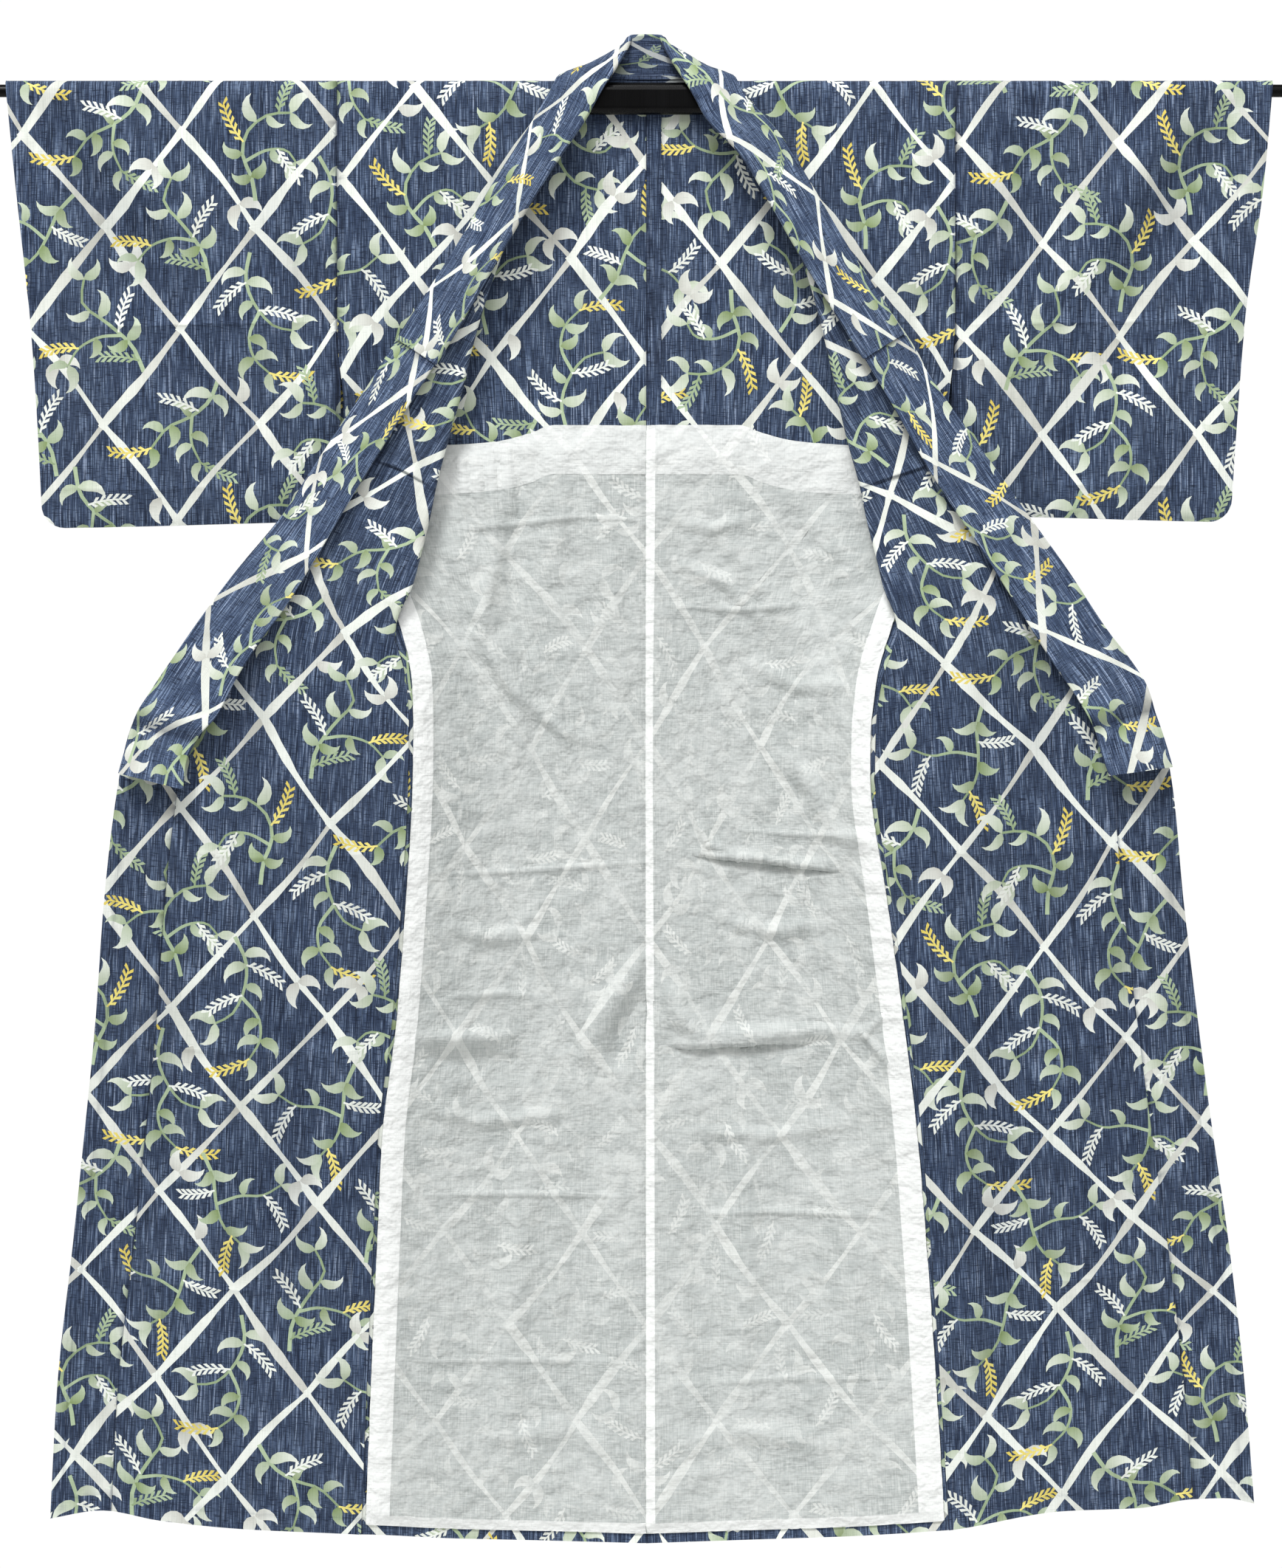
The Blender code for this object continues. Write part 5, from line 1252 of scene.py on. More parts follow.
def make_body(side, sign, finish):
    points, tris, top, shapes, straight, flapped = body(side, sign, finish)
    top = np.empty(len(tris), int)
    for rows, start, stop in ((np.nonzero(~flapped)[0], 0, straight), (np.nonzero(flapped)[0], straight, len(shapes))):
        top[rows] = top_shape(points[tris].mean(axis=1), shapes, start, stop, rows)
    centre = points[tris].mean(axis=1)
    if side == "left":
        top[(centre[:, 0] > SHOULDER - 0.0164) & (centre[:, 1] < -0.024)] = -1
    dye = dye_of(points, tris, top, shapes)
    u, v = points.T
    back = v < 0
    xb, yb, zb = at_back(side, u, v)
    xf, yf, zf = at_front(side, u, np.maximum(v, 0))
    x, y, z = np.where(back, xb, xf), np.where(back, yb, yf), np.where(back, zb, zf)
    flap = on_flap(side, u, v)
    deep = np.zeros(len(x))
    bulge = 1.5 * fold_depth(FRONT_FOLDS[side], sign * x, z) * ease((u - row_value(FRONT[side]["reach"][:, FOLD], v)) / 0.02)
    deep = np.where(flap, bulge, deep)
    hanging = (~flap) & (~back) & (v > ARC)
    deep = np.where(hanging, fold_depth(TOP_FOLDS[side], sign * x, z) * ease((0.30 - (-z)) / 0.1 + 0.5), deep)
    rest = fold_depth(BACK_FOLDS, sign * x, z)
    deep = np.where(back & (v < -ARC), rest * 0.8, deep)
    edge = np.minimum(ease(u / 0.03), ease((row_value(FRONT[side]["reach"][:, -1], np.maximum(v, 0)) - u) / 0.02))
    lap = (~back) * (okumi_width(hang(v)[1]) > 0.003) * ease((u - front_width(side, np.maximum(v, 0)) + 0.0042) / 0.0022)
    deep = np.where(back, deep * ease(u / 0.03) * ease((SHOULDER - u) / 0.015), deep * edge)
    deep *= ease((np.abs(v) - ARC) / 0.02)
    y = y + 0.0012 * lap
    if side == "right":
        y = y + np.where(back, 0.0011 * ease((u - SHOULDER + 0.0030) / 0.0025), 0.0)
    z = lifted(side, x, z)
    placed = np.stack([sign * x, y - deep, z], axis=1)
    # cloth coordinates for the weave: the grain leans with the print on the turned-out part
    home = {"right": (-SHOULDER, 1.0), "left": (SHOULDER, -1.0)}[side]
    s, t = u / home[1] + home[0], v.copy()
    fs, ft = flap_print(np.abs(x), z)
    s, t = np.where(flap, fs * sign, s), np.where(flap, ft, t)
    uv = np.stack([s, t], axis=1)
    n = smooth_normals(placed, tris)
    # Painted shade, multiplied into the cloth's colour: dark lines along the left back seam, its turning, the hem
    # turning and the tuck, the gap beside the sleeve, and the lower, folded turned-out front.
    painted_shade = np.zeros(len(x))
    if side == "left":
        painted_shade = np.maximum(painted_shade, 0.9 * (back & (u > SHOULDER - 0.0004) & (v < -0.024)))
        painted_shade = np.maximum(painted_shade, 0.45 * (back & (np.abs(u - SHOULDER + 0.0164) < 0.0006) & (v < -0.024)))
    painted_shade = np.maximum(painted_shade, 0.40 * (np.abs(np.abs(v) - LENGTH_V + 0.0168) < 0.0006))
    tuck = FRONT_FOLDS[side][0][3]
    tx, tz = px_xz([q[0] for q in tuck], [q[1] for q in tuck])
    gap_to, _, _ = near_line(np.stack([tx, tz], axis=1), sign * x, z)
    painted_shade = np.maximum(painted_shade, 0.85 * flap * np.exp(-((gap_to / 0.0011) ** 2)))
    # Painted shade in the gap between sleeve and body.
    painted_shade = np.maximum(painted_shade, 0.80 * np.exp(-((u / 0.0014) ** 2)) * (v > -0.5) * (v < 0.30))
    # Painted shade: darker towards the bottom of the turned-out front and in its fold valleys.
    painted_shade = np.maximum(painted_shade, flap * (0.12 * ease((-z - 0.45) / 0.25) + 0.26 * np.clip(-deep / 0.0075, 0.0, 1.0)))
    half = np.full(len(x), WALL / 2)
    under = half.copy()
    hem = (np.abs(v) > LENGTH_V - 0.0168) | (back & (u > SHOULDER - 0.0164) & (v < -0.024) & (side == "left"))
    under += 0.0006 * hem
    # the turnings are on the inner side: the side that faces forward on the back
    inner_is_over = n[back][:, 1].mean() < 0
    over, under = (under, half) if inner_is_over else (half, under)
    obj = shell(f"robe_body_{side}", placed, tris, uv, dye, over, under, doubling_and_shade_values=painted_shade)
    return finish_piece(obj, finish, f"body_{side}")


def make_okumi(side, sign, finish):
    fine = lambda a, b, step: list(np.linspace(a, b, max(2, int(round(abs(b - a) / step)) + 1)))
    v0, end_v = v_of_z(OKUMI_TOP - 0.060), LENGTH_V
    vs = np.array(fine(v0, end_v, 0.008))
    far = row_value(FRONT[side]["reach"][:, -1], vs)
    wide = okumi_width(hang(vs)[1])
    outline = list(zip(far - wide, vs)) + [(u, end_v) for u in fine(far[-1] - wide[-1], far[-1], 0.008)[1:-1]] + list(zip(far, vs))[::-1]
    lines = []
    for off in (0.0118, 0.0124):
        keep = wide > 0.025
        lines.append(np.stack([(far - off)[keep], vs[keep]], axis=1)[:-1])
    for off in (0.0165, 0.0172):
        lines.append([(u, end_v - off) for u in fine(far[-1] - wide[-1] + 0.003, far[-1] - 0.003, 0.009)])
    inner = []
    for n, (f, w, v) in enumerate(zip(far[1:-1], wide[1:-1], vs[1:-1])):
        count = max(1, int(w / 0.009))
        inner += [(u, v) for u in np.linspace(f - w + 0.004, f - 0.004, count + 1) + 0.003 * (n % 2) if u < f - 0.003]
    shapes = flap_shapes(side, sign, PRINT_AT["okumi_" + side], 37, -1.56, OKUMI_TOP, 0.2, 0.66)
    points, tris, top = cut(outline, lines, inner, shapes)
    dye = dye_of(points, tris, top, shapes)
    u, v = points.T
    x, y, z = at_front(side, u, v)
    deep = 1.5 * fold_depth(FRONT_FOLDS[side], sign * x, z)
    reach = row_value(FRONT[side]["reach"][:, -1], v)
    deep *= ease((reach - u) / 0.02)
    z = lifted(side, x, z)
    placed = np.stack([sign * x, y - deep, z], axis=1)
    fs, ft = flap_print(np.abs(x), z)
    uv = np.stack([fs * sign, ft], axis=1)
    n = smooth_normals(placed, tris)
    half = np.full(len(x), WALL / 2)
    hem = (v > LENGTH_V - 0.0168) | (reach - u < 0.0121)
    inner_side = half + 0.0007 * hem
    over, under = (inner_side, half) if n[:, 1].mean() < 0 else (half, inner_side)
    # Painted shade: dark lines along the okumi's seam, its turned-in edge and its hem turning, darker towards the
    # bottom and in the fold valleys.
    edge_line = np.abs(reach - u - 0.0121) < 0.0005
    seam_line = (reach - u > okumi_width(hang(v)[1]) - 0.0004) & (okumi_width(hang(v)[1]) > 0.01)
    painted_shade = 0.85 * seam_line + 0.40 * (edge_line & ~seam_line)
    painted_shade = np.maximum(painted_shade, 0.12 * ease((-z - 0.45) / 0.25) + 0.26 * np.clip(-deep / 0.0075, 0.0, 1.0))
    painted_shade = np.maximum(painted_shade, 0.40 * (np.abs(v - LENGTH_V + 0.0168) < 0.0006))
    obj = shell(f"robe_okumi_{side}", placed, tris, uv, dye, over, under, doubling_and_shade_values=painted_shade)
    return finish_piece(obj, finish, f"okumi_{side}")


def make_sleeve(side, sign, finish):
    inner_x = SHOULDER - 0.0035
    fine = lambda a, b, step: list(np.linspace(a, b, max(2, int(round(abs(b - a) / step)) + 1)))
    bottom_v = lambda x: TUBE_AXIS_Z + ARC - SLEEVE_DROP[side]("z", x)
    edge_x = lambda v: SLEEVE_OUT[side]("x", hang(v)[1])
    low = float(bottom_v(edge_x(0.43))) - CORNER
    half = [(float(edge_x(v)), v) for v in fine(0.0, low, 0.008)[1:]]
    cx, cv = float(edge_x(low)) - CORNER, low
    half += [(cx + CORNER * math.cos(a), cv + CORNER * math.sin(a)) for a in np.linspace(0, math.pi / 2, 8)[1:]]
    half += [(x, float(bottom_v(x))) for x in fine(cx, inner_x, 0.008)[1:]]
    half += [(inner_x, v) for v in fine(half[-1][1], 0.0, 0.008)[1:-1]]
    outline = [(float(edge_x(0.0)), 0.0)] + half + [(inner_x, 0.0)] + [(x, -v) for x, v in reversed(half)]
    lines = [[(SHOULDER + off, v) for v in fine(-low + 0.02, low - 0.02, 0.008)] for off in (-0.0003, 0.0016)]
    for v in (ARC * 0.25, ARC * 0.5, ARC * 0.75, ARC):
        for s in (-1, 1):
            lines.append([(x, s * v) for x in fine(inner_x + 0.003, float(edge_x(v)) - 0.003, 0.009)])
    lines.append([(x, 0.0) for x in fine(inner_x + 0.003, float(edge_x(0.0)) - 0.003, 0.009)])

    def place_uv(line):
        return np.stack([np.abs(line[:, 0]), v_of_z(line[:, 1])], axis=1)

    for line in crease_lines(SLEEVE_FOLDS[side], place_uv):
        ok = (line[:, 0] > inner_x + 0.003) & (line[:, 0] < edge_x(line[:, 1]) - 0.004) & (line[:, 1] < bottom_v(line[:, 0]) - 0.004)
        line = line[ok]
        if len(line) > 2:
            lines.append(line)
    inner = []
    for n, v in enumerate(fine(ARC + 0.006, low + CORNER - 0.004, 0.0085)):
        for s in (-1, 1):
            for x in np.linspace(inner_x + 0.004, float(edge_x(v)) - 0.004, 40) + 0.003 * (n % 2):
                if x < edge_x(v) - 0.003 and v < bottom_v(x) - 0.003:
                    if x > cx and v > cv and math.hypot(x - cx, v - cv) > CORNER - 0.002:
                        continue
                    inner.append((x, s * v))
    lo_x, hi_x = (inner_x, 0.70) if sign > 0 else (-0.70, -inner_x)
    shapes = []
    for ring, c0, c1, a, b in print_shapes((lo_x, -0.49), (hi_x, 0.49), PRINT_AT["sleeve_" + side], 5 if sign < 0 else 6):
        go = lambda p: p * np.array([sign, 1.0])
        shapes.append((go(ring), c0, c1, go(a), go(b)))
    points, tris, top = cut(outline, lines, inner, shapes)
    dye = dye_of(points, tris, top, shapes)
    x, v = points.T
    y, z = hang(v)
    gap = np.where(np.abs(v) < ARC, y, SLEEVE_HALF_GAP("y", z))
    near = bottom_v(x) - np.abs(v)
    sewn = ease((-z - CUFF_OPEN + 0.03) / 0.03)
    near = np.where(-z > CUFF_OPEN - 0.03, np.minimum(near, (edge_x(np.abs(v)) - x) + (1 - sewn) * 0.05), near)
    t = np.clip(near / 0.045, 0, 1)
    gap = np.where(np.abs(v) < ARC, gap, np.maximum(0.0009, gap * np.sqrt(1 - (1 - t) ** 2)))
    deep = 1.5 * fold_depth(SLEEVE_FOLDS[side], sign * x, z) * ease((np.abs(v) - ARC) / 0.02) * ease(near / 0.03)
    front = v > 0
    y = np.where(front, -gap - np.maximum(deep, -gap + 0.0012), gap - np.maximum(np.minimum(deep, gap - 0.0012), -0.004) * 0.7)
    tuck = ease((SHOULDER + 0.0014 - x) / 0.0018)
    y = y * (1 - 0.17 * tuck)
    z = z - 0.0016 * tuck * (np.abs(v) < ARC + 0.02)
    placed = np.stack([sign * x, y, z], axis=1)
    uv = np.stack([sign * x, v], axis=1)
    # Painted shade: a dark band where the sleeve meets the body, darker fold valleys on the front, and a dark line
    # along the sewn bottom.
    painted_shade = 0.80 * ((x < SHOULDER + 0.0020) & (np.abs(v) < 0.47))
    painted_shade = np.maximum(painted_shade, 0.30 * front * np.clip(-deep / 0.0090, 0.0, 1.0))
    rim = np.minimum(bottom_v(x) - np.abs(v), 1.0)
    painted_shade = np.maximum(painted_shade, 0.35 * np.exp(-(((rim - 0.0035) / 0.0007) ** 2)))
    obj = shell(f"robe_sleeve_{side}", placed, tris, uv, dye, WALL / 2, WALL / 2, doubling_and_shade_values=painted_shade)
    return finish_piece(obj, finish, f"sleeve_{side}")


# ---- the collar and its cover ----
def collar_rows(side, sign):
    rows = []
    for k in np.arange(0.0, 5.01, 0.5):
        row = [float(NECK_ROWS(n, k)) for n in "sx sy sz cx cy cz mx my mz".split()]
        rows.append([np.array((sign * row[i], row[i + 1], row[i + 2])) for i in (0, 3, 6)])
    for sx, sz, mx, mz in COLLAR_LINE[side]:
        sy = float(DEPTH("edge", sz)) - 0.0012 / 2 - 0.0008 - 0.0010 - COLLAR_THICK / 2 - 0.0012
        roll_x, roll_y = float(OUTLINE[side]("roll", mz)), float(DEPTH("roll", mz)) - 2 * float(DEPTH("turn", mz))
        edge_x, edge_y = float(OUTLINE[side]("edge", mz)), float(DEPTH("edge", mz))
        share = min(1.0, max(0.0, (mx - roll_x) / (edge_x - roll_x)))
        my = roll_y + (edge_y - roll_y) * share - 0.0130
        s, m = np.array((sign * sx, sy, sz)), np.array((sign * mx, min(my, sy - 0.002), mz))
        rows.append([s, (s + m) / 2 + np.array((0, -0.0022, 0)), m])
    return rows


def collar_tables():
    halves = {}
    for side, sign in SIDES:
        rows = collar_rows(side, sign)
        reach = np.concatenate([[0.0], np.cumsum([np.linalg.norm(b[1] - a[1]) for a, b in zip(rows, rows[1:])])])
        data = [(r, *np.concatenate(row)) for r, row in zip(reach, rows)]
        names = "r " + " ".join(f"{p}{c}" for p in "scm" for c in "xyz")
        halves[side] = (Table(names, data), float(reach[-1]))
    return halves


COLLAR = collar_tables()
COLLAR_STEP = 0.004


def collar_frames():
    """Seam, middle and free edge of the whole band at even steps, from the right end to the left."""
    rs, rows = [], []
    for side, sign in SIDES:
        table, whole = COLLAR[side]
        r = np.arange(0, whole + COLLAR_STEP, COLLAR_STEP)
        r = np.minimum(r, whole)
        pts = np.stack([np.stack([table(p + c, r) for c in "xyz"], axis=1) for p in "scm"], axis=1)
        if sign < 0:
            rs.append(-r[::-1])
            rows.append(pts[::-1])
        else:
            rs.append(r[1:])
            rows.append(pts[1:])
    return np.concatenate(rs), np.concatenate(rows)


FRAME_R, FRAME_P = collar_frames()


def band(r, w, lift):
    """The place of a point of the band: r along, w across from seam (0) to free edge (1)."""
    i = np.clip(np.searchsorted(FRAME_R, r) - 1, 0, len(FRAME_R) - 2)
    a = np.clip((r - FRAME_R[i]) / np.maximum(1e-9, FRAME_R[i + 1] - FRAME_R[i]), 0, 1)[:, None, None]
    p = FRAME_P[i] * (1 - a) + FRAME_P[i + 1] * a
    lo, hi = np.clip(i - 2, 0, len(FRAME_R) - 1), np.clip(i + 3, 0, len(FRAME_R) - 1)
    d = FRAME_P[hi] - FRAME_P[lo]
    wc = np.clip(w, 0, 1)[:, None]
    b0, b1, b2 = 2 * (wc - 0.5) * (wc - 1), 4 * wc * (1 - wc), 2 * wc * (wc - 0.5)
    here = b0 * p[:, 0] + b1 * p[:, 1] + b2 * p[:, 2]
    along = b0 * d[:, 0] + b1 * d[:, 1] + b2 * d[:, 2]
    slope = (4 * wc - 3) * p[:, 0] + (4 - 8 * wc) * p[:, 1] + (4 * wc - 1) * p[:, 2]
    normal = np.cross(along, slope)
    normal /= np.linalg.norm(normal, axis=1)[:, None]
    width = np.linalg.norm(p[:, 2] - p[:, 0], axis=1)[:, None]
    out = slope / np.linalg.norm(slope, axis=1)[:, None] * (w[:, None] - wc) * width
    return here + out + normal * np.asarray(lift)[:, None], width[:, 0]


def make_band(name, node, finish, near, far, lift, margin, seed):
    """Cloth folded over the band: q runs from the seam over the outer face and round the free edge."""
    fine = lambda a, b, step: list(np.linspace(a, b, max(2, int(round(abs(b - a) / step)) + 1)))
    half_face = 0.088  # cloth on one face, before it is scaled to the band's own width
    turn = math.pi * lift
    whole = 2 * half_face + turn
    rs = fine(near, far, 0.0075)
    outline = [(r, 0.0) for r in rs] + [(far, q) for q in fine(0, whole, 0.0075)[1:-1]] + [(r, whole) for r in rs[::-1]]
    outline += [(near, q) for q in fine(whole, 0, 0.0075)[1:-1]]
    lines = [[(r, half_face + turn * k / 6) for r in fine(near + 0.002, far - 0.002, 0.006)] for k in range(7)]
    if node == "collar":
        for k in (-1, 1):
            for off in (0.0, 0.0016, 0.0032):
                lines.append([(k * (COVER_REACH + off), whole - q) for q in fine(0.003, half_face - 0.003, 0.008)])
        lines += [[(r, whole - q) for r, q in line] for line in bend_rows(half_face)]
    else:
        for end in (near + 0.0008, far - 0.0008):
            lines.append([(end, whole - q) for q in fine(0.003, half_face - 0.003, 0.008)])
    inner = []
    for n, r in enumerate(fine(near + 0.006, far - 0.006, 0.0075)):
        inner += [(r, q) for q in list(np.linspace(0.005, half_face - 0.005, 11)) + list(np.linspace(half_face + turn + 0.005, whole - 0.005, 9))]
    shapes = []
    for ring, c0, c1, a, b in print_shapes((0.0, near), (whole, far), PRINT_AT["collar"], seed):
        go = lambda p: p[..., ::-1]
        shapes.append((go(ring), c0, c1, go(a), go(b)))
    points, tris, top = cut(outline, lines, inner, shapes)
    dye = dye_of(points, tris, top, shapes)
    r, q = points.T
    outer, inner_face = q <= half_face, q >= half_face + turn
    w = np.where(outer, margin + (1 - margin) * q / half_face, np.where(inner_face, margin + (1 - margin) * (whole - q) / half_face, 1.0))
    angle = np.clip((q - half_face) / turn, 0, 1) * math.pi
    rise = lift * np.cos(angle)
    _, width = band(r, w, np.zeros(len(r)))
    w = np.where(outer | inner_face, w, 1 + lift * np.sin(angle) / width)
    # the seam edge closes, and small uneven bulges run along the band
    pinch = 0.45 + 0.55 * ease(np.where(outer, q, whole - q) / 0.02) if node == "collar" else 1.0
    wave = 0.0006 * np.sin(r * 61 + 3 * np.sin(r * 17)) * np.sin(math.pi * np.clip(w, 0, 1)) * inner_face
    if node == "collar":
        w = w - 0.07 * ease((0.10 - np.abs(r)) / 0.03) * (1 - np.clip(w, 0, 1)) ** 3
    placed, _ = band(r, w, rise * pinch + wave)
    placed = bend_ends(placed, r)
    uv = np.stack([q, r], axis=1)
    # Painted shade: dark lines at the cover's ends and on the collar under them, a shadow above the crease near each
    # end, and the shaded inside of the collar at the neck.
    painted_shade = np.zeros(len(r))
    if node == "collar_cover":
        painted_shade = 0.8 * (np.minimum(r - near, far - r) < 0.0006) * inner_face
    else:
        painted_shade = 0.55 * (np.abs(np.abs(r) - COVER_REACH - 0.0016) < 0.0016) * inner_face
        for side, sign in SIDES:
            d = placed[:, 2] - bend_line(side, sign * placed[:, 0])
            painted_shade = np.maximum(painted_shade, np.where(r * sign > 0.3, 0.60 * np.exp(-(((d - 0.003) / np.where(d > 0.003, 0.009, 0.003)) ** 2)) * inner_face, 0.0))
    painted_shade = np.maximum(painted_shade, 0.72 * outer * ease((0.105 - np.abs(r)) / 0.035))
    obj = shell(name, placed, tris, uv, dye, 0.0004, 0.0004, doubling_and_shade_values=painted_shade)
    return finish_piece(obj, finish, node)


def bend_line(side, x):
    """Height of the crease across the band's end."""
    return {"right": -0.677 - (0.543 - x) * 0.277, "left": -0.662 - (0.540 - x) * 0.297}[side]


def bend_ends(points, r):
    """Near its ends the band turns down: a crease across it, and the last stretch tipped forward."""
    out = points.copy()
    for side, sign in SIDES:
        mine = r * sign > 0.3
        d = points[:, 2] - bend_line(side, sign * points[:, 0])
        bulge = 0.0070 * np.exp(-(((d - 0.020) / 0.013) ** 2))
        drop = -bulge - 0.0130 * np.where(d < 0, np.minimum(1.0, -d / 0.050), 0.0)
        out[:, 1] += np.where(mine, drop, 0.0)
    return out


def bend_rows(half_face):
    """The same creases on the cloth's outer face, as lines of (r, q)."""
    rows = []
    for side, sign in SIDES:
        r = np.linspace(COLLAR[side][1] - 0.14, COLLAR[side][1] - 0.004, 70)
        for off in (-0.005, 0.0, 0.004):
            line = []
            for q in np.linspace(0.003, half_face - 0.002, 13):
                place, _ = band(sign * r, np.full(len(r), q / half_face), np.zeros(len(r)))
                d = place[:, 2] - bend_line(side, sign * place[:, 0]) - off
                k = int(np.argmax(d < 0))
                if k > 0:
                    line.append((sign * float(r[k - 1] + (r[k] - r[k - 1]) * d[k - 1] / (d[k - 1] - d[k])), float(q)))
            if len(line) > 2:
                rows.append(line)
    return rows


def make_lining(side, sign, finish):
    fine = lambda a, b, step: list(np.linspace(a, b, max(2, int(round(abs(b - a) / step)) + 1)))
    middle = SHOULDER + (0.0030 if side == "right" else 0.0)

    def u_side(v):
        z = hang(v)[1]
        return LINING_INSET("in", z) * SHOULDER / OUTLINE[side]("side", z)

    def v_top(u):
        v = np.full_like(np.asarray(u, float), -0.39)
        for _ in range(4):
            x = OUTLINE[side]("side", hang(v)[1]) * (1 - u / SHOULDER)
            v = LINING_TOP("z", x) - TUBE_AXIS_Z - ARC
        return v

    foot = -(LENGTH_V - LINING_RISE)
    u0 = float(u_side(-0.39))
    us = np.array(fine(u0, middle, 0.0075))
    tops = v_top(us)
    outline = list(zip(us, tops)) + [(middle, v) for v in fine(float(tops[-1]), foot, 0.0075)[1:]]
    outline += [(u, foot) for u in fine(middle, float(u_side(foot)), 0.0075)[1:]]
    outline += [(float(u_side(v)), v) for v in fine(foot, float(tops[0]), 0.0075)[1:-1]]
    lines = []
    strip = 0.0098 if side == "left" else 0.0
    side_strip = 0.0265
    for k in (0.0, 0.0006):
        if strip:
            lines.append([(middle - strip - k, v) for v in fine(float(tops[-1]) - 0.003, foot + 0.003, 0.009)])
            lines.append([(middle - 0.0016 - 1.5 * k, v) for v in fine(float(tops[-1]) - 0.003, foot + 0.003, 0.009)])
        lines.append([(float(u_side(v)) + side_strip + k, v) for v in fine(float(tops[0]) - 0.02, foot + 0.003, 0.009)])
        lines.append([(u, foot + 0.011 + k) for u in fine(float(u_side(foot)) + 0.003, middle - 0.003, 0.009)])
        lines.append([(u, float(v_top(np.array(u))) - 0.0520 - k) for u in fine(u0 + 0.003, middle - 0.003, 0.009)])

    def back_uv(line):
        v = -v_of_z(line[:, 1])
        edge = OUTLINE[side]("side", line[:, 1])
        return np.stack([SHOULDER * (1 - line[:, 0] * sign / edge), v], axis=1)

    for line in crease_lines(LINING_FOLDS, back_uv):
        ok = (line[:, 0] > u_side(line[:, 1]) + 0.002) & (line[:, 0] < middle - 0.002) & (line[:, 1] > foot + 0.002) & (line[:, 1] < v_top(line[:, 0]) - 0.002)
        line = line[ok]
        if len(line) > 2:
            lines.append(line)
    inner = []
    for n, v in enumerate(fine(float(tops.min()) - 0.004, foot + 0.005, 0.0080)):
        a = float(u_side(v))
        inner += [(u, v) for u in np.linspace(a + 0.004, middle - 0.004, 40) + 0.004 * (n % 2) if u < middle - 0.003]
    home = {"right": (-SHOULDER, 1.0), "left": (SHOULDER, -1.0)}[side]
    shapes = []
    for ring, c0, c1, a, b in print_shapes((min(home[0], 0), foot), (max(home[0], 0), -0.3), PRINT_AT["back"], 11):
        go = lambda p: np.stack([(p[..., 0] - home[0]) * home[1], p[..., 1]], axis=-1)
        shapes.append((go(ring), c0, c1, go(a), go(b)))
    points, tris, top = cut(outline, lines, inner, shapes)
    dye = dye_of(points, tris, top, shapes)
    u, v = points.T
    x, y, z = at_back(side, u, v)
    own = fold_depth(LINING_FOLDS, sign * x, z) * ease((u - u_side(v)) / 0.02) * ease((v_top(u) - v) / 0.02)
    rest = fold_depth(BACK_FOLDS, sign * x, z) * 0.8 * ease(u / 0.03) * ease((SHOULDER - u) / 0.015)
    deep = rest + np.maximum(0.0, own * 2.8 + 0.0042)
    edge = np.minimum.reduce([u - u_side(v), SHOULDER - u + 0.006, v - foot, v_top(u) - v])
    deep = rest + (deep - rest) * ease(edge / 0.014)
    z = lifted(side, x, z)
    placed = np.stack([sign * x, y - deep, z], axis=1)
    n = smooth_normals(placed, tris)
    if n[:, 1].mean() > 0:
        tris, n = tris[:, ::-1], -n
        dye = dye[:, ::-1]
    placed = placed + n * (WALL / 2 + 0.0006 + 0.0006 + LINING_WALL / 2)
    if side == "right":
        placed[:, 1] += 0.0010 * ease((u - SHOULDER + 0.0025) / 0.0022)
    doubling_and_painted_shade = (v < foot + 0.0113) | (u < u_side(v) + side_strip + 0.0003) | (v > v_top(u) - 0.0523)
    if strip:
        doubling_and_painted_shade |= u > middle - strip - 0.0003
    over = LINING_WALL / 2 + 0.0005 * doubling_and_painted_shade
    uv = np.stack([u / home[1] + home[0], v], axis=1)
    top_band = v > v_top(u) - 0.0523
    # Positive values make two-fold cloth whiter; the negative value on the left half paints shade along the centre-back
    # seam.
    doubling_and_seam_shade = np.where(top_band & ~(u > middle - strip - 0.0003 if strip else False), 0.56, 1.0) * doubling_and_painted_shade
    if side == "left":
        doubling_and_seam_shade = np.where(u > SHOULDER - 0.0004, -0.9, doubling_and_seam_shade)
    obj = shell(f"robe_lining_{side}", placed, tris, uv, dye, over, LINING_WALL / 2, doubling_and_shade_values=doubling_and_seam_shade)
    return finish_piece(obj, finish, f"lining_{side}")


# ---- the scene ----
def area_light(name, where, aim, size, power, colour=(1, 1, 1)):
    data = bpy.data.lights.new(name, "AREA")
    data.shape = "RECTANGLE"
    data.size, data.size_y = size
    data.energy = power
    data.color = colour
    obj = bpy.data.objects.new(name, data)
    bpy.context.scene.collection.objects.link(obj)
    obj.location = where
    obj.rotation_euler = (Vector(aim) - Vector(where)).to_track_quat("-Z", "Y").to_euler()
    return obj


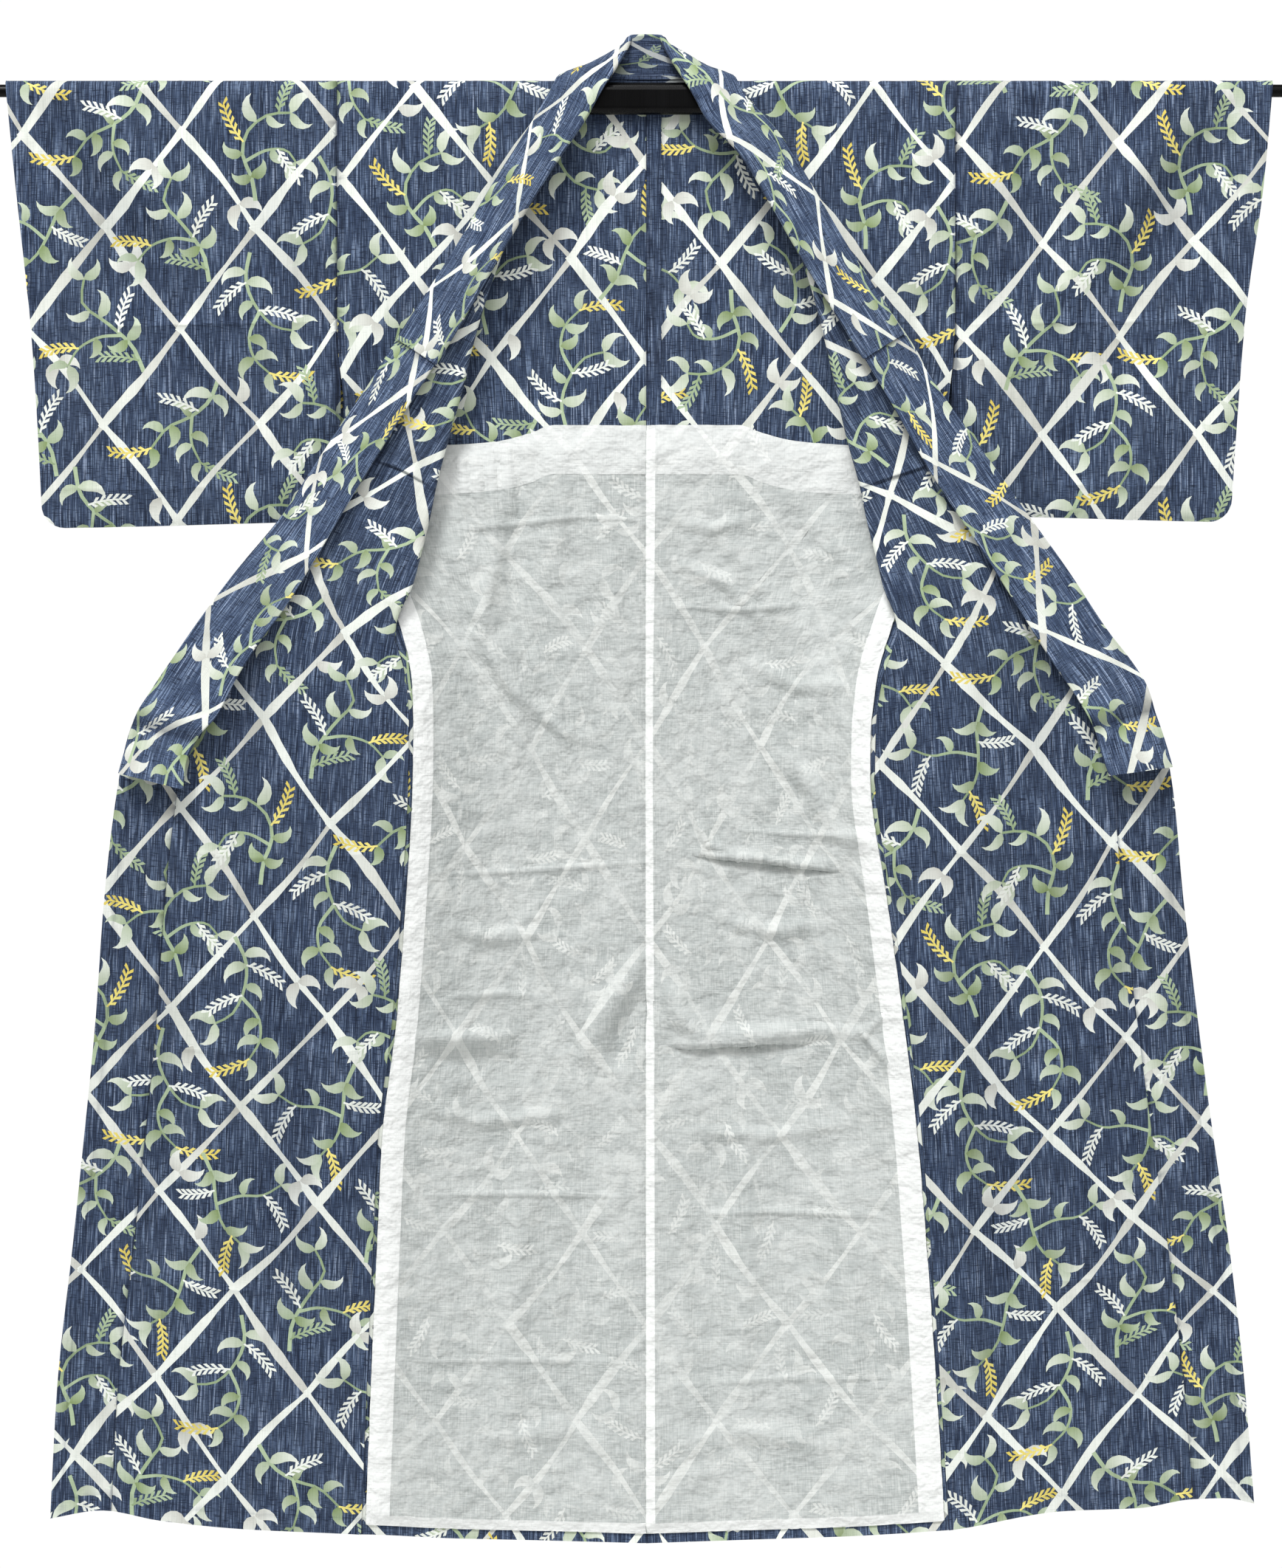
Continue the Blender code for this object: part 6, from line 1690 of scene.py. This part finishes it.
def studio():
    scene = bpy.context.scene
    scene.view_settings.view_transform = "Standard"
    scene.view_settings.look = "None"
    scene.view_settings.exposure = 0.0
    world = bpy.data.worlds.new("white studio")
    scene.world = world
    world.use_nodes = True
    tree = world.node_tree
    back = tree.nodes["Background"]
    back.inputs["Color"].default_value = (1, 1, 1, 1)
    back.inputs["Strength"].default_value = 0.37
    seen = tree.nodes.new("ShaderNodeBackground")
    seen.inputs["Color"].default_value = (1, 1, 1, 1)
    seen.inputs["Strength"].default_value = 1.02
    path = tree.nodes.new("ShaderNodeLightPath")
    mix = tree.nodes.new("ShaderNodeMixShader")
    tree.links.new(path.outputs["Is Camera Ray"], mix.inputs[0])
    tree.links.new(back.outputs[0], mix.inputs[1])
    tree.links.new(seen.outputs[0], mix.inputs[2])
    tree.links.new(mix.outputs[0], tree.nodes["World Output"].inputs["Surface"])
    sun = bpy.data.lights.new("soft key", "SUN")
    sun.energy = 2.1
    sun.angle = math.radians(14)
    key = bpy.data.objects.new("soft key", sun)
    scene.collection.objects.link(key)
    key.rotation_euler = Vector((0.22, 0.52, -0.80)).to_track_quat("-Z", "Y").to_euler()
    area_light("fill", (2.6, -4.2, -0.4), (0.0, 0.0, -0.80), (2.6, 2.6), 9)
    area_light("top", (-0.25, -2.2, 1.7), (0.0, 0.0, -0.35), (2.4, 1.4), 46)

    floor_mesh = bpy.data.meshes.new("studio_floor")
    xs, ys = np.linspace(-2.4, 2.4, 25), np.linspace(-2.0, 1.2, 17)
    verts = [(x, y, -1.75) for y in ys for x in xs]
    quads = [(j * 25 + i, j * 25 + i + 1, (j + 1) * 25 + i + 1, (j + 1) * 25 + i) for j in range(16) for i in range(24)]
    floor_mesh.from_pydata(verts, [], quads)
    floor = bpy.data.objects.new("studio_floor", floor_mesh)
    scene.collection.objects.link(floor)
    made, ftree, shader = new_material("pale floor")
    shader.inputs["Base Color"].default_value = (0.86, 0.86, 0.85, 1)
    shader.inputs["Roughness"].default_value = 0.9
    floor_mesh.materials.append(made)

    camera = bpy.data.cameras.new("camera")
    camera.lens = 129.15
    camera.sensor_width = 36.0
    camera.clip_end = 50
    obj = bpy.data.objects.new("camera", camera)
    scene.collection.objects.link(obj)
    obj.location = (-0.0055, -6.0, -0.7378)
    obj.rotation_euler = (math.pi / 2, 0, 0)
    scene.camera = obj


def main():
    studio()
    printed = cotton("printed cotton")
    # Painted light: the collar band uses the same cotton made 1.3 times brighter, for its lit look.
    band_cloth_painted_lighter = cotton("printed cotton of the collar", 1.30)
    white = white_cotton("white lining cotton")
    rod = black_rod("black rod")
    for name in ("rod_arm_right", "rod_arm_left", "rod_grip"):
        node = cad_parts[name]
        node.data.materials.clear()
        node.data.materials.append(rod)
    for side, sign in SIDES:
        make_body(side, sign, printed)
        make_okumi(side, sign, printed)
        make_sleeve(side, sign, printed)
        make_lining(side, sign, white)
    ends = {side: COLLAR[side][1] for side, _ in SIDES}
    make_band("robe_collar", "collar", band_cloth_painted_lighter, -ends["right"] + 0.0005, ends["left"] - 0.0005, COLLAR_THICK / 2 - 0.0004, 0.0, 51)
    make_band("robe_collar_cover", "collar_cover", band_cloth_painted_lighter, -COVER_REACH, COVER_REACH, COVER_LIFT, 0.03, 52)


main()
